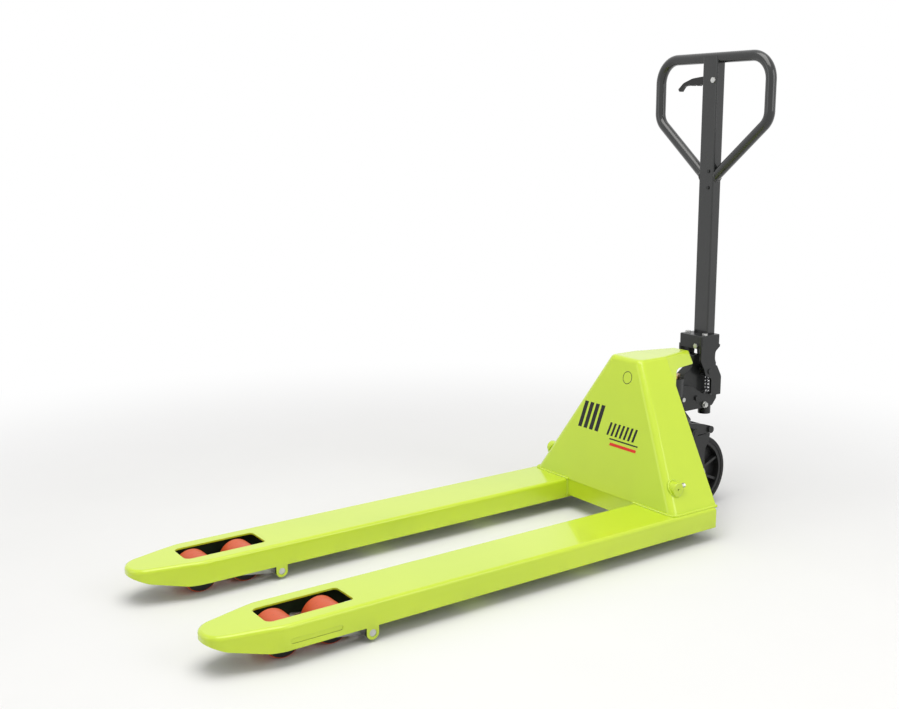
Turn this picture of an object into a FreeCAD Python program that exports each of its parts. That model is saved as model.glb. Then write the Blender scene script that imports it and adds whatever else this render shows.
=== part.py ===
import FreeCAD, Part
import math
import os

# Hand pallet jack: two pressed forks, a bent mast housing, a hydraulic pump that steers on its
# own wheels, and a linkage of rocker, push rods and roller arms that raises the fork tips.
# The model is laid out from the mast's front foot line (y = 0) with the fork tips along -Y and
# the handle along +Y, and is moved to its own origin when it is saved. Sides are the operator's,
# who stands behind the handle and faces the fork tips: left is +X.

V = FreeCAD.Vector

# Overall sizes
FORK_LENGTH = 1150.0
FORK_WIDTH = 145.0
OVERALL_WIDTH = 545.0
FORK_TOP = 84.0
FORK_DEPTH = 51.0
LIFT_HEIGHT = 115.0

# Clearances
RUNNING_FIT = 0.06
SEAT_GAP = 0.05
SIDE_GAP = 0.4

# Forks
FORK_WALL = 4.0
FORK_EDGE_RADIUS = 8.0
HEEL_REACH = 139.0
HOUSING_SEAT_STEP = 1.0
NOSE_LENGTH = 110.0
NOSE_TAPER = 135.0
NOSE_TIP_WIDTH = 74.0
NOSE_TIP_RADIUS = 43.0
NOSE_TIP_TOP = 81.0
NOSE_TIP_BOTTOM = 64.0
NOSE_KNEE_REACH = 34.0
NOSE_KNEE_BOTTOM = 50.0
NOSE_BLEND_RADIUS = 60.0
WINDOW_LENGTH = 186.0
WINDOW_WIDTH = 76.0
WINDOW_FRONT_RADIUS = 14.0
WINDOW_REAR_RADIUS = 9.0
RIB_LENGTH = 110.0
RIB_HEIGHT = 10.0
RIB_DEPTH = 1.2
STRAP_WIDTH = 60.0
STRAP_THICKNESS = 3.0
STRAP_PLACES = (-560.0, -250.0)

# Tandem load rollers and their arms
ROLLER_DIAMETER = 80.0
ROLLER_WIDTH = 62.0
ROLLER_SPACING = 105.0
ROLLER_AXLE_DIAMETER = 14.0
BOGIE_REACH = 118.0
BOGIE_PLATE = 3.5
BOGIE_EYE_RADIUS = 13.0
BOGIE_PIN_DIAMETER = 14.0
BOGIE_SPACER_RADIUS = 10.0
ARM_PIVOT_Y = -827.5
ARM_PIVOT_Z = 20.0
ARM_PIVOT_PIN = 15.0
ARM_PLATE = 4.5
ARM_HUB_RADIUS = 13.5
EAR_RADIUS = 14.0

# Mast housing and head block
HOUSING_FOOT_MARGIN = 9.5
HOUSING_TOP_WIDTH = 112.0
HOUSING_TOP = 421.0
HOUSING_FRONT_LEAN = 75.5
HOUSING_DEPTH_FOOT = 148.0
HOUSING_DEPTH_TOP = 168.0
HOUSING_WALL = 6.0
HOUSING_CORNER_RADIUS = 20.0
HOUSING_TOP_RADIUS = 14.0
HEAD_HALF_WIDTH = 48.0
HEAD_UNDERSIDE = 388.0
HEAD_NECK_DROP = 38.0
HEAD_TAPER = 32.0
HEAD_END_RADIUS = 14.0
HEAD_TONGUE_DEPTH = 22.0
PANEL_BOTTOM = 40.0
PANEL_THICKNESS = 5.0
PANEL_FLANGE = 34.0

# Rocker (bell crank) on its cross shaft
ROCKER_Y = 38.0
ROCKER_Z = 140.0
SHAFT_DIAMETER = 24.0
BOSS_DIAMETER = 34.0
BOSS_INSET = 31.0
BOSS_LENGTH = 31.6
BOSS_FLOOR = 4.0
BOSS_BOLT_TILT = 15.0
ROCKER_TUBE_RADIUS = 17.0
UPPER_ARM_INNER = 92.0
UPPER_ARM_THICKNESS = 10.0
UPPER_ARM_HEIGHT = 14.5
UPPER_ARM_KNEE = 84.0
UPPER_ARM_SHOULDER = 70.0
LOWER_ARM_LENGTH = 86.0
LOWER_ARM_PLATE = 6.5
PUSH_PIN_DIAMETER = 12.0
PUSH_ROD_RADIUS = 9.0
PUSH_EYE_WIDTH = 8.0
PUSH_ROD_OFFSET = 8.6
PUSH_EYE_RADIUS = 12.0

# Steering head under the pump
STEER_Y = 236.0
HEAD_PLATE_BOTTOM = 208.0
HEAD_PLATE_THICKNESS = 14.0
HEAD_PLATE_LENGTH = 110.0
HEAD_HALF = 82.0
CHEEK_THICKNESS = 7.0
HEAD_PIN_RISE = 10.0
HEAD_PIN_DIAMETER = 10.0
TIE_BAR_Y = 303.0
TIE_BAR_DIAMETER = 16.0

# Pump and ram
RAM_DIAMETER = 32.0
RAM_LENGTH = 222.0
RAM_POCKET = 10.0
BARREL_RADIUS = 39.0
BARREL_TOP = 350.0
FLANGE_RADIUS = 60.0
BEARING_HEIGHT = 8.0
SPIGOT_RADIUS = 33.0
SHANK_RADIUS = 24.0
SHANK_BOTTOM = 166.0
BRIDGE_BOTTOM = 258.0
BRIDGE_TOP = 314.0
BRIDGE_HALF_WIDTH = 30.0
GLAND_HEIGHT = 8.0
FLANK_PLUG_REACH = 74.0
FLANK_PLUG_RISE = 30.0
FILLER_PLUG_DROP = 56.0

# Steering wheels and their bracket
WHEEL_DIAMETER = 200.0
WHEEL_WIDTH = 50.0
WHEEL_INNER_FACE = 29.0
WHEEL_TRAIL = 39.0
TYRE_THICKNESS = 12.0
AXLE_DIAMETER = 20.0
WHEEL_BEARING_RADIUS = 21.0
WHEEL_BEARING_WIDTH = 12.0
LEG_THICKNESS = 5.0
CROWN_TOP = 205.4
CROWN_THICKNESS = 4.2
GUARD_RISE = 84.0
GUARD_WAIST = 64.0
GUARD_REACH = 30.0
HUB_RIBS = 8

# Yoke, piston and handle
YOKE_PIVOT_Y = 345.0
YOKE_PIVOT_Z = 358.0
YOKE_PIN_DIAMETER = 14.0
YOKE_HALF_WIDTH = 41.0
YOKE_CHEEK = 6.0
YOKE_BLOCK_BOTTOM = 420.0
YOKE_BLOCK_TOP = 455.0
YOKE_FRONT = 311.0
YOKE_REAR = 381.0
YOKE_TILT = 70.0
CAM_ROLLER_RADIUS = 12.0
CAM_ROLLER_REACH = 33.0
CAM_ROLLER_ANGLE = 33.0
CAM_PIN_DIAMETER = 10.0
PISTON_Y = 373.0
PISTON_RADIUS = 8.0
PISTON_CAP_RADIUS = 15.5
PISTON_CAP_HEIGHT = 13.0
PISTON_BOSS_RADIUS = 17.0
PISTON_BOSS_TOP = 292.0
PISTON_STROKE = 38.6
SPRING_WIRE = 2.0
SPRING_TURNS = 6
POLE_WIDTH = 50.0
POLE_DEPTH = 30.0
POLE_WALL = 3.0
POLE_Y = 362.0
POLE_BOTTOM = 440.0
LOOP_TUBE_RADIUS = 13.5
LOOP_TUBE_WALL = 2.3
LOOP_HALF_WIDTH = 202.0
OVERALL_HEIGHT = 1177.0
LOOP_JOIN_DROP = 300.0
LOOP_ELBOW_DROP = 169.0
LOOP_TOP_RADIUS = 60.0
LOOP_ELBOW_RADIUS = 45.0
LEVER_PIVOT_X = 14.0
LEVER_DROP = 69.0
LEVER_REACH = 134.0
LEVER_ROOT = 42.0
LEVER_THICKNESS = 12.0
LEVER_PIN_DIAMETER = 8.0
LEVER_UP = 14.0
LEVER_DOWN = 12.0
CONTROL_ROD_RADIUS = 2.5

# Places that follow from the sizes above
FORK_CENTRE = (OVERALL_WIDTH - FORK_WIDTH) / 2
ROD_LINE = FORK_CENTRE - PUSH_ROD_OFFSET
FORK_BOTTOM = FORK_TOP - FORK_DEPTH
HOUSING_FOOT = FORK_TOP - HOUSING_SEAT_STEP
HOUSING_FOOT_WIDTH = OVERALL_WIDTH - 2 * HOUSING_FOOT_MARGIN
BOSS_END = OVERALL_WIDTH / 2 - BOSS_INSET
BOGIE_Y = ARM_PIVOT_Y - BOGIE_REACH
ROLLER_RADIUS = ROLLER_DIAMETER / 2
WHEEL_Y = STEER_Y + WHEEL_TRAIL
WHEEL_RADIUS = WHEEL_DIAMETER / 2
HEAD_PLATE_TOP = HEAD_PLATE_BOTTOM + HEAD_PLATE_THICKNESS
HEAD_PIN_Z = HEAD_PLATE_BOTTOM + HEAD_PIN_RISE
UPPER_ARM_BOTTOM = HEAD_PLATE_BOTTOM - 0.5
FLANGE_BOTTOM = HEAD_PLATE_TOP + BEARING_HEIGHT
LOOP_CENTRE_Z = OVERALL_HEIGHT - LOOP_TUBE_RADIUS
LOOP_ELBOW_Z = OVERALL_HEIGHT - LOOP_ELBOW_DROP
LOOP_JOIN_Z = OVERALL_HEIGHT - LOOP_JOIN_DROP
LEVER_PIVOT_Z = OVERALL_HEIGHT - LEVER_DROP
RAM_TOP = HEAD_UNDERSIDE + RAM_POCKET

# Rocker: its arm pin rides in a level slot of the steering head, so the arm turns between these
ARM_PIN_REACH = math.hypot(STEER_Y - ROCKER_Y, HEAD_PIN_Z - ROCKER_Z)
ARM_REST_ANGLE = math.asin((HEAD_PIN_Z - ROCKER_Z) / ARM_PIN_REACH)
ARM_RAISED_ANGLE = math.asin((HEAD_PIN_Z - LIFT_HEIGHT - ROCKER_Z) / ARM_PIN_REACH)
ROCKER_TURN = ARM_REST_ANGLE - ARM_RAISED_ANGLE
LOWER_PIN_Y = ROCKER_Y + LOWER_ARM_LENGTH * math.sin(ROCKER_TURN / 2)
LOWER_PIN_Z = ROCKER_Z - LOWER_ARM_LENGTH * math.cos(ROCKER_TURN / 2)
SLOT_TRAVEL = ARM_PIN_REACH - (STEER_Y - ROCKER_Y)

# Roller arms: the bogie drops by the lift while the arm's upper pin moves as far as the rod
BOGIE_RADIUS = math.hypot(BOGIE_REACH, ROLLER_RADIUS - ARM_PIVOT_Z)
BOGIE_REST_ANGLE = math.asin((ROLLER_RADIUS - ARM_PIVOT_Z) / BOGIE_RADIUS)
BOGIE_DROP_ANGLE = math.asin((ROLLER_RADIUS - ARM_PIVOT_Z - LIFT_HEIGHT) / BOGIE_RADIUS)
ROLLER_ARM_TURN = BOGIE_REST_ANGLE - BOGIE_DROP_ANGLE
UPPER_LEVER = LOWER_ARM_LENGTH * math.sin(ROCKER_TURN / 2) / math.sin(ROLLER_ARM_TURN / 2)
UPPER_PIN_Y = ARM_PIVOT_Y + UPPER_LEVER * math.sin(ROLLER_ARM_TURN / 2)
UPPER_PIN_Z = ARM_PIVOT_Z + UPPER_LEVER * math.cos(ROLLER_ARM_TURN / 2)
PIN_RISE = (UPPER_LEVER * (1 - math.cos(ROLLER_ARM_TURN / 2))
            + LOWER_ARM_LENGTH * (1 - math.cos(ROCKER_TURN / 2)))

CAM_Y = YOKE_PIVOT_Y + CAM_ROLLER_REACH * math.cos(math.radians(CAM_ROLLER_ANGLE))
CAM_Z = YOKE_PIVOT_Z + CAM_ROLLER_REACH * math.sin(math.radians(CAM_ROLLER_ANGLE))
PISTON_TOP = CAM_Z - CAM_ROLLER_RADIUS - 0.3
PISTON_BOSS_BOTTOM = PISTON_BOSS_TOP - 58.0

REAR_REACH = PISTON_Y + PISTON_BOSS_RADIUS
ORIGIN_Y = (REAR_REACH - FORK_LENGTH) / 2


# Shape helpers
def box(x0, x1, y0, y1, z0, z1):
    return Part.makeBox(x1 - x0, y1 - y0, z1 - z0, V(x0, y0, z0))


def bar_x(radius, x0, x1, y, z):
    return Part.makeCylinder(radius, x1 - x0, V(x0, y, z), V(1, 0, 0))


def bar_y(radius, x, y0, y1, z):
    return Part.makeCylinder(radius, y1 - y0, V(x, y0, z), V(0, 1, 0))


def bar_z(radius, x, y, z0, z1):
    return Part.makeCylinder(radius, z1 - z0, V(x, y, z0), V(0, 0, 1))


def face_of(points, place):
    """A flat face inside the closed outline of (u, v) or (u, v, corner radius) points."""
    corners = []
    for index, point in enumerate(points):
        here = V(point[0], point[1], 0)
        before = V(points[index - 1][0], points[index - 1][1], 0)
        following = points[(index + 1) % len(points)]
        after = V(following[0], following[1], 0)
        radius = point[2] if len(point) > 2 else 0
        if radius == 0:
            corners.append((here, here, here))
            continue
        back = (before - here).normalize()
        ahead = (after - here).normalize()
        half = back.getAngle(ahead) / 2
        middle = (back + ahead).normalize()
        reach = radius / math.tan(half)
        top = here + middle * (radius / math.sin(half) - radius)
        corners.append((here + back * reach, top, here + ahead * reach))
    edges = []
    for index, (start, top, end) in enumerate(corners):
        if not start.isEqual(end, 1e-6):
            edges.append(Part.Arc(place(start), place(top), place(end)).toShape())
        following = corners[(index + 1) % len(corners)][0]
        if not end.isEqual(following, 1e-6):
            edges.append(Part.makeLine(place(end), place(following)))
    return Part.Face(Part.Wire(edges))


def plate_x(points, x0, x1):
    """A plate between two x places, with its outline given as (y, z) points."""
    return face_of(points, lambda p: V(x0, p.x, p.y)).extrude(V(x1 - x0, 0, 0))


def plate_y(points, y0, y1):
    """A plate between two y places, with its outline given as (x, z) points."""
    return face_of(points, lambda p: V(p.x, y0, p.y)).extrude(V(0, y1 - y0, 0))


def plate_z(points, z0, z1):
    """A plate between two z places, with its outline given as (x, y) points."""
    return face_of(points, lambda p: V(p.x, p.y, z0)).extrude(V(0, 0, z1 - z0))


def link_x(y0, z0, radius0, y1, z1, radius1, x0, x1):
    """A flat link with two round ends, between two x places."""
    run = math.hypot(y1 - y0, z1 - z0)
    heading = math.atan2(z1 - z0, y1 - y0)
    spread = math.acos((radius0 - radius1) / run)
    corners = []
    for side, (y, z, radius) in ((1, (y0, z0, radius0)), (1, (y1, z1, radius1)),
                                 (-1, (y1, z1, radius1)), (-1, (y0, z0, radius0))):
        angle = heading + side * spread
        corners.append((y + radius * math.cos(angle), z + radius * math.sin(angle)))
    web = plate_x(corners, x0, x1)
    return web.fuse([bar_x(radius0, x0, x1, y0, z0), bar_x(radius1, x0, x1, y1, z1)]).removeSplitter()


def hexagon(across, height, base, axis):
    """A hexagonal head on a base point, growing along a row axis."""
    radius = across / math.sqrt(3)
    corners = [V(radius * math.cos(math.radians(60 * k)), radius * math.sin(math.radians(60 * k)), 0)
               for k in range(7)]
    head = Part.Face(Part.makePolygon(corners)).extrude(V(0, 0, height))
    head.Placement = FreeCAD.Placement(base, FreeCAD.Rotation(V(0, 0, 1), axis))
    return head


def rim_of(solid):
    """The edges around the faces that look up, without those between two such faces."""
    tops = []
    for face in solid.Faces:
        u0, u1, v0, v1 = face.ParameterRange
        if face.normalAt((u0 + u1) / 2, (v0 + v1) / 2).z > 0.7:
            tops.append(face)
    edges = [edge for face in tops for edge in face.Edges]
    return [edge for edge in edges if sum(edge.isSame(other) for other in edges) == 1]


def mirrored(shape):
    return shape.mirror(V(0, 0, 0), V(1, 0, 0))


def both_sides(shape):
    return [shape, mirrored(shape)]


def save(name, *shapes):
    solids = [solid for shape in shapes for solid in shape.Solids]
    node = Part.makeCompound(solids) if len(solids) > 1 else solids[0]
    node.translate(V(0, -ORIGIN_Y, 0))
    node.exportStep("parts/%s.step" % name)


# Forks: pressed channels, open below, with the nose drawn in and sloped
def fork_block(inset, bottom, edge_radius=0):
    """The fork's outer form, or with an inset the space inside its plate."""
    half = FORK_WIDTH / 2 - inset
    nose_half = NOSE_TIP_WIDTH / 2 - inset
    tip = -FORK_LENGTH + inset
    heel = HEEL_REACH - inset
    top = FORK_TOP - inset
    taper = -FORK_LENGTH + NOSE_TAPER
    tip_radius = NOSE_TIP_RADIUS - inset
    blend = NOSE_BLEND_RADIUS
    outline = [(half, heel), (half, taper, blend), (nose_half, tip, tip_radius),
               (-nose_half, tip, tip_radius), (-half, taper, blend), (-half, heel)]
    slope = (FORK_TOP - NOSE_TIP_TOP) / NOSE_LENGTH
    slope_top = NOSE_TIP_TOP - inset + slope * (heel - tip)
    side = plate_x([(heel, bottom), (heel, slope_top), (tip, NOSE_TIP_TOP - inset),
                    (tip, NOSE_TIP_BOTTOM - FORK_BOTTOM + bottom),
                    (tip + NOSE_KNEE_REACH, NOSE_KNEE_BOTTOM - FORK_BOTTOM + bottom, blend),
                    (-FORK_LENGTH + NOSE_LENGTH, bottom, blend)], -half, half)
    flat = plate_z(outline, bottom, top)
    nose = plate_z(outline, bottom, slope_top + 1).common(side).Solids[0]
    if edge_radius > 0:
        flat = flat.makeFillet(edge_radius, rim_of(flat))
        nose = nose.makeFillet(edge_radius, rim_of(nose))
    return flat.common(nose)


def fork():
    half = FORK_WIDTH / 2
    outer = fork_block(0, FORK_BOTTOM, FORK_EDGE_RADIUS)
    shell = outer.cut(fork_block(FORK_WALL, -FORK_DEPTH))
    ears = []
    for side in (-1, 1):
        x0, x1 = sorted((side * half, side * (half - FORK_WALL - 2)))
        ears.append(bar_x(EAR_RADIUS, x0, x1, ARM_PIVOT_Y, ARM_PIVOT_Z))
        wall0, wall1 = sorted((side * half, side * (half - FORK_WALL)))
        ears.append(box(wall0, wall1, ARM_PIVOT_Y - EAR_RADIUS, ARM_PIVOT_Y + EAR_RADIUS, ARM_PIVOT_Z, FORK_BOTTOM + 3))
    straps = [box(-half + FORK_WALL - 1, half - FORK_WALL + 1, y - STRAP_WIDTH / 2, y + STRAP_WIDTH / 2,
                  FORK_BOTTOM, FORK_BOTTOM + STRAP_THICKNESS) for y in STRAP_PLACES]
    shell = shell.fuse(ears + straps).removeSplitter()
    window_y = BOGIE_Y + 5
    window = plate_z([(-WINDOW_WIDTH / 2, window_y - WINDOW_LENGTH / 2, WINDOW_FRONT_RADIUS),
                      (WINDOW_WIDTH / 2, window_y - WINDOW_LENGTH / 2, WINDOW_FRONT_RADIUS),
                      (WINDOW_WIDTH / 2, window_y + WINDOW_LENGTH / 2, WINDOW_REAR_RADIUS),
                      (-WINDOW_WIDTH / 2, window_y + WINDOW_LENGTH / 2, WINDOW_REAR_RADIUS)],
                     FORK_TOP - 2 * FORK_WALL, FORK_TOP + 1)
    slot_half = PUSH_EYE_WIDTH / 2 + LOWER_ARM_PLATE + 4
    arm_slot = box(-PUSH_ROD_OFFSET - slot_half, -PUSH_ROD_OFFSET + slot_half, HOUSING_WALL + 0.6,
                   ROCKER_Y + 2 * ROCKER_TUBE_RADIUS, FORK_TOP - 2 * FORK_WALL, FORK_TOP + 1)
    seat = box(-half, half, 0, HEEL_REACH, HOUSING_FOOT, FORK_TOP + 1)
    rib_y = BOGIE_Y + ROLLER_SPACING / 2
    rib_z = FORK_BOTTOM + FORK_DEPTH / 3
    rib = plate_x([(rib_y - RIB_LENGTH, rib_z - RIB_HEIGHT / 2, RIB_HEIGHT / 2.05),
                   (rib_y, rib_z - RIB_HEIGHT / 2, RIB_HEIGHT / 2.05),
                   (rib_y, rib_z + RIB_HEIGHT / 2, RIB_HEIGHT / 2.05),
                   (rib_y - RIB_LENGTH, rib_z + RIB_HEIGHT / 2, RIB_HEIGHT / 2.05)],
                  half - RIB_DEPTH, half + 1)
    pin_hole = bar_x(ARM_PIVOT_PIN / 2 + SEAT_GAP, -half - 1, half + 1, ARM_PIVOT_Y, ARM_PIVOT_Z)
    shell = shell.cut([window, arm_slot, seat, rib, pin_hole])
    return shell.translated(V(FORK_CENTRE, 0, 0))


# Roller arms, bogies and rollers under one fork
def roller_arm():
    inner = ROLLER_WIDTH / 2 + BOGIE_PLATE + 1.5 + 2 * SIDE_GAP + 2
    plates = []
    for side in (-1, 1):
        x0, x1 = sorted((side * inner, side * (inner + ARM_PLATE)))
        plates.append(link_x(ARM_PIVOT_Y, ARM_PIVOT_Z, ARM_HUB_RADIUS, BOGIE_Y, ROLLER_RADIUS,
                             BOGIE_EYE_RADIUS, x0, x1))
        lug0, lug1 = sorted((-PUSH_ROD_OFFSET + side * (PUSH_EYE_WIDTH / 2 + SIDE_GAP),
                             -PUSH_ROD_OFFSET + side * (PUSH_EYE_WIDTH / 2 + LOWER_ARM_PLATE)))
        plates.append(link_x(ARM_PIVOT_Y, ARM_PIVOT_Z, ARM_HUB_RADIUS, UPPER_PIN_Y, UPPER_PIN_Z,
                             PUSH_PIN_DIAMETER / 2 + 4, lug0, lug1))
    hub_half = FORK_WIDTH / 2 - FORK_WALL - 2 - SIDE_GAP
    hub = bar_x(ARM_HUB_RADIUS, -hub_half, hub_half, ARM_PIVOT_Y, ARM_PIVOT_Z)
    arm = hub.fuse(plates).removeSplitter()
    return arm.cut([bar_x(ARM_PIVOT_PIN / 2 + RUNNING_FIT, -hub_half, hub_half, ARM_PIVOT_Y, ARM_PIVOT_Z),
                    bar_x(BOGIE_PIN_DIAMETER / 2 + SEAT_GAP, -hub_half, hub_half, BOGIE_Y, ROLLER_RADIUS),
                    bar_x(PUSH_PIN_DIAMETER / 2 + SEAT_GAP, -hub_half / 2, hub_half / 2,
                          UPPER_PIN_Y, UPPER_PIN_Z)])


def bogie_pin():
    half = ROLLER_WIDTH / 2 + BOGIE_PLATE + 1.5 + 2 * SIDE_GAP + 2 + ARM_PLATE
    return bar_x(BOGIE_PIN_DIAMETER / 2, -half, half, BOGIE_Y, ROLLER_RADIUS)


def arm_push_pin():
    half = PUSH_EYE_WIDTH / 2 + LOWER_ARM_PLATE + 1
    return bar_x(PUSH_PIN_DIAMETER / 2, -PUSH_ROD_OFFSET - half, -PUSH_ROD_OFFSET + half, UPPER_PIN_Y, UPPER_PIN_Z)


def bogie():
    """Two link plates with the spacer tube that turns on the arm's pin."""
    inner = ROLLER_WIDTH / 2 + 1.5
    front = BOGIE_Y - ROLLER_SPACING / 2
    rear = BOGIE_Y + ROLLER_SPACING / 2
    plates = []
    for side in (-1, 1):
        x0, x1 = sorted((side * inner, side * (inner + BOGIE_PLATE)))
        plates.append(link_x(front, ROLLER_RADIUS, BOGIE_EYE_RADIUS, rear, ROLLER_RADIUS,
                             BOGIE_EYE_RADIUS, x0, x1))
    spacer = bar_x(BOGIE_SPACER_RADIUS, -inner, inner, BOGIE_Y, ROLLER_RADIUS)
    frame = spacer.fuse(plates).removeSplitter()
    frame = frame.cut(bar_x(BOGIE_PIN_DIAMETER / 2 + RUNNING_FIT, -inner * 2, inner * 2, BOGIE_Y, ROLLER_RADIUS))
    for y in (front, rear):
        frame = frame.cut(bar_x(ROLLER_AXLE_DIAMETER / 2 + SEAT_GAP, -inner * 2, inner * 2, y, ROLLER_RADIUS))
    return frame


def roller_axles():
    half = ROLLER_WIDTH / 2 + 1.5 + BOGIE_PLATE + 1.2
    return [bar_x(ROLLER_AXLE_DIAMETER / 2, -half, half, BOGIE_Y + way * ROLLER_SPACING / 2, ROLLER_RADIUS)
            for way in (-1, 1)]


def roller(way):
    y = BOGIE_Y + way * ROLLER_SPACING / 2
    body = bar_x(ROLLER_RADIUS, -ROLLER_WIDTH / 2, ROLLER_WIDTH / 2, y, ROLLER_RADIUS)
    body = body.makeFillet(3, [edge for edge in body.Edges if edge.Length > 4 * ROLLER_RADIUS])
    recess = [bar_x(ROLLER_RADIUS * 0.55, side * ROLLER_WIDTH / 2 - 2, side * ROLLER_WIDTH / 2 + 2, y, ROLLER_RADIUS)
              for side in (-1, 1)]
    bore = bar_x(ROLLER_AXLE_DIAMETER / 2 + RUNNING_FIT, -ROLLER_WIDTH, ROLLER_WIDTH, y, ROLLER_RADIUS)
    return body.cut(recess + [bore])


def roller_arm_pins():
    half = FORK_WIDTH / 2 - 0.5
    pin = bar_x(ARM_PIVOT_PIN / 2, FORK_CENTRE - half, FORK_CENTRE + half, ARM_PIVOT_Y, ARM_PIVOT_Z)
    return both_sides(pin)


def push_rod():
    """Level rod with flat ends: a round rear eye and a front eye slotted upwards for the arm's pin."""
    x0 = -PUSH_ROD_OFFSET - PUSH_EYE_WIDTH / 2
    x1 = -PUSH_ROD_OFFSET + PUSH_EYE_WIDTH / 2
    slack = PUSH_PIN_DIAMETER / 2 + 0.6
    bar_start = UPPER_PIN_Y + 2 * PUSH_EYE_RADIUS
    bar_end = LOWER_PIN_Y - 1.5 * PUSH_EYE_RADIUS
    bar = bar_y(PUSH_ROD_RADIUS, -PUSH_ROD_OFFSET, bar_start, bar_end, LOWER_PIN_Z)
    rear_eye = bar_x(PUSH_EYE_RADIUS, x0, x1, LOWER_PIN_Y, LOWER_PIN_Z)
    rear_blade = box(x0, x1, bar_end - 12, LOWER_PIN_Y, LOWER_PIN_Z - PUSH_ROD_RADIUS, LOWER_PIN_Z + PUSH_ROD_RADIUS)
    low = UPPER_PIN_Z - slack - 5
    high = UPPER_PIN_Z + PIN_RISE + slack + 4
    reach = slack + 6
    front_eye = plate_x([(UPPER_PIN_Y - reach, low, 5), (UPPER_PIN_Y + reach, low, 5),
                         (bar_start + 12, LOWER_PIN_Z - PUSH_ROD_RADIUS), (bar_start + 12, LOWER_PIN_Z + PUSH_ROD_RADIUS),
                         (UPPER_PIN_Y + reach, high, 5), (UPPER_PIN_Y - reach, high, 5)], x0, x1)
    rod = bar.fuse([rear_eye, rear_blade, front_eye]).removeSplitter()
    slot = plate_x([(UPPER_PIN_Y - slack, UPPER_PIN_Z - slack, slack * 0.98),
                    (UPPER_PIN_Y + slack, UPPER_PIN_Z - slack, slack * 0.98),
                    (UPPER_PIN_Y + slack, UPPER_PIN_Z + PIN_RISE + slack, slack * 0.98),
                    (UPPER_PIN_Y - slack, UPPER_PIN_Z + PIN_RISE + slack, slack * 0.98)], x0 - 1, x1 + 1)
    hole = bar_x(PUSH_PIN_DIAMETER / 2 + RUNNING_FIT, x0 - 1, x1 + 1, LOWER_PIN_Y, LOWER_PIN_Z)
    return rod.cut([slot, hole])


# Mast housing: one bent plate, open behind and below
def rear_line(z):
    share = (z - HOUSING_FOOT) / (HOUSING_TOP - HOUSING_FOOT)
    return HOUSING_DEPTH_FOOT + share * (HOUSING_DEPTH_TOP - HOUSING_DEPTH_FOOT)


def housing_block(inset, foot):
    height = HOUSING_TOP - HOUSING_FOOT
    side_slope = (HOUSING_FOOT_WIDTH - HOUSING_TOP_WIDTH) / 2 / height
    front_slope = HOUSING_FRONT_LEAN / height
    side_inset = inset * math.hypot(1, side_slope)
    front_inset = inset * math.hypot(1, front_slope)
    top = HOUSING_TOP - inset
    foot_half = HOUSING_FOOT_WIDTH / 2 - side_inset + (HOUSING_FOOT - foot) * side_slope
    top_half = HOUSING_TOP_WIDTH / 2 - side_inset + inset * side_slope
    front_foot = front_inset - (HOUSING_FOOT - foot) * front_slope
    front_top = front_inset + HOUSING_FRONT_LEAN - inset * front_slope
    rear = HOUSING_DEPTH_TOP + 2 * HOUSING_WALL
    wedge = plate_y([(-foot_half, foot), (foot_half, foot), (top_half, top), (-top_half, top)], -rear, rear)
    profile = plate_x([(front_foot, foot), (rear, foot), (rear, top), (front_top, top)], -foot_half, foot_half)
    block = wedge.common(profile)
    slanted = [edge for edge in block.Edges
               if abs(edge.BoundBox.ZLength - (top - foot)) < 0.01 and edge.CenterOfMass.y < rear - 5]
    block = block.makeFillet(HOUSING_CORNER_RADIUS - inset, slanted)
    tops = [edge for edge in rim_of(block) if edge.BoundBox.YMin < rear - 5]
    return block.makeFillet(HOUSING_TOP_RADIUS - inset, tops)


def housing():
    shell = housing_block(0, HOUSING_FOOT).cut(housing_block(HOUSING_WALL, HOUSING_FOOT - 20))
    far = HOUSING_DEPTH_TOP + 4 * HOUSING_WALL
    low = HOUSING_FOOT - 30
    high = HOUSING_TOP + 10
    behind = plate_x([(rear_line(low), low), (far, low), (far, high), (rear_line(high), high)],
                     -HOUSING_FOOT_WIDTH, HOUSING_FOOT_WIDTH)
    boss_holes = bar_x(BOSS_DIAMETER / 2 + SEAT_GAP, -BOSS_END, BOSS_END, ROCKER_Y, ROCKER_Z)
    return shell.cut([behind, boss_holes])


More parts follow.
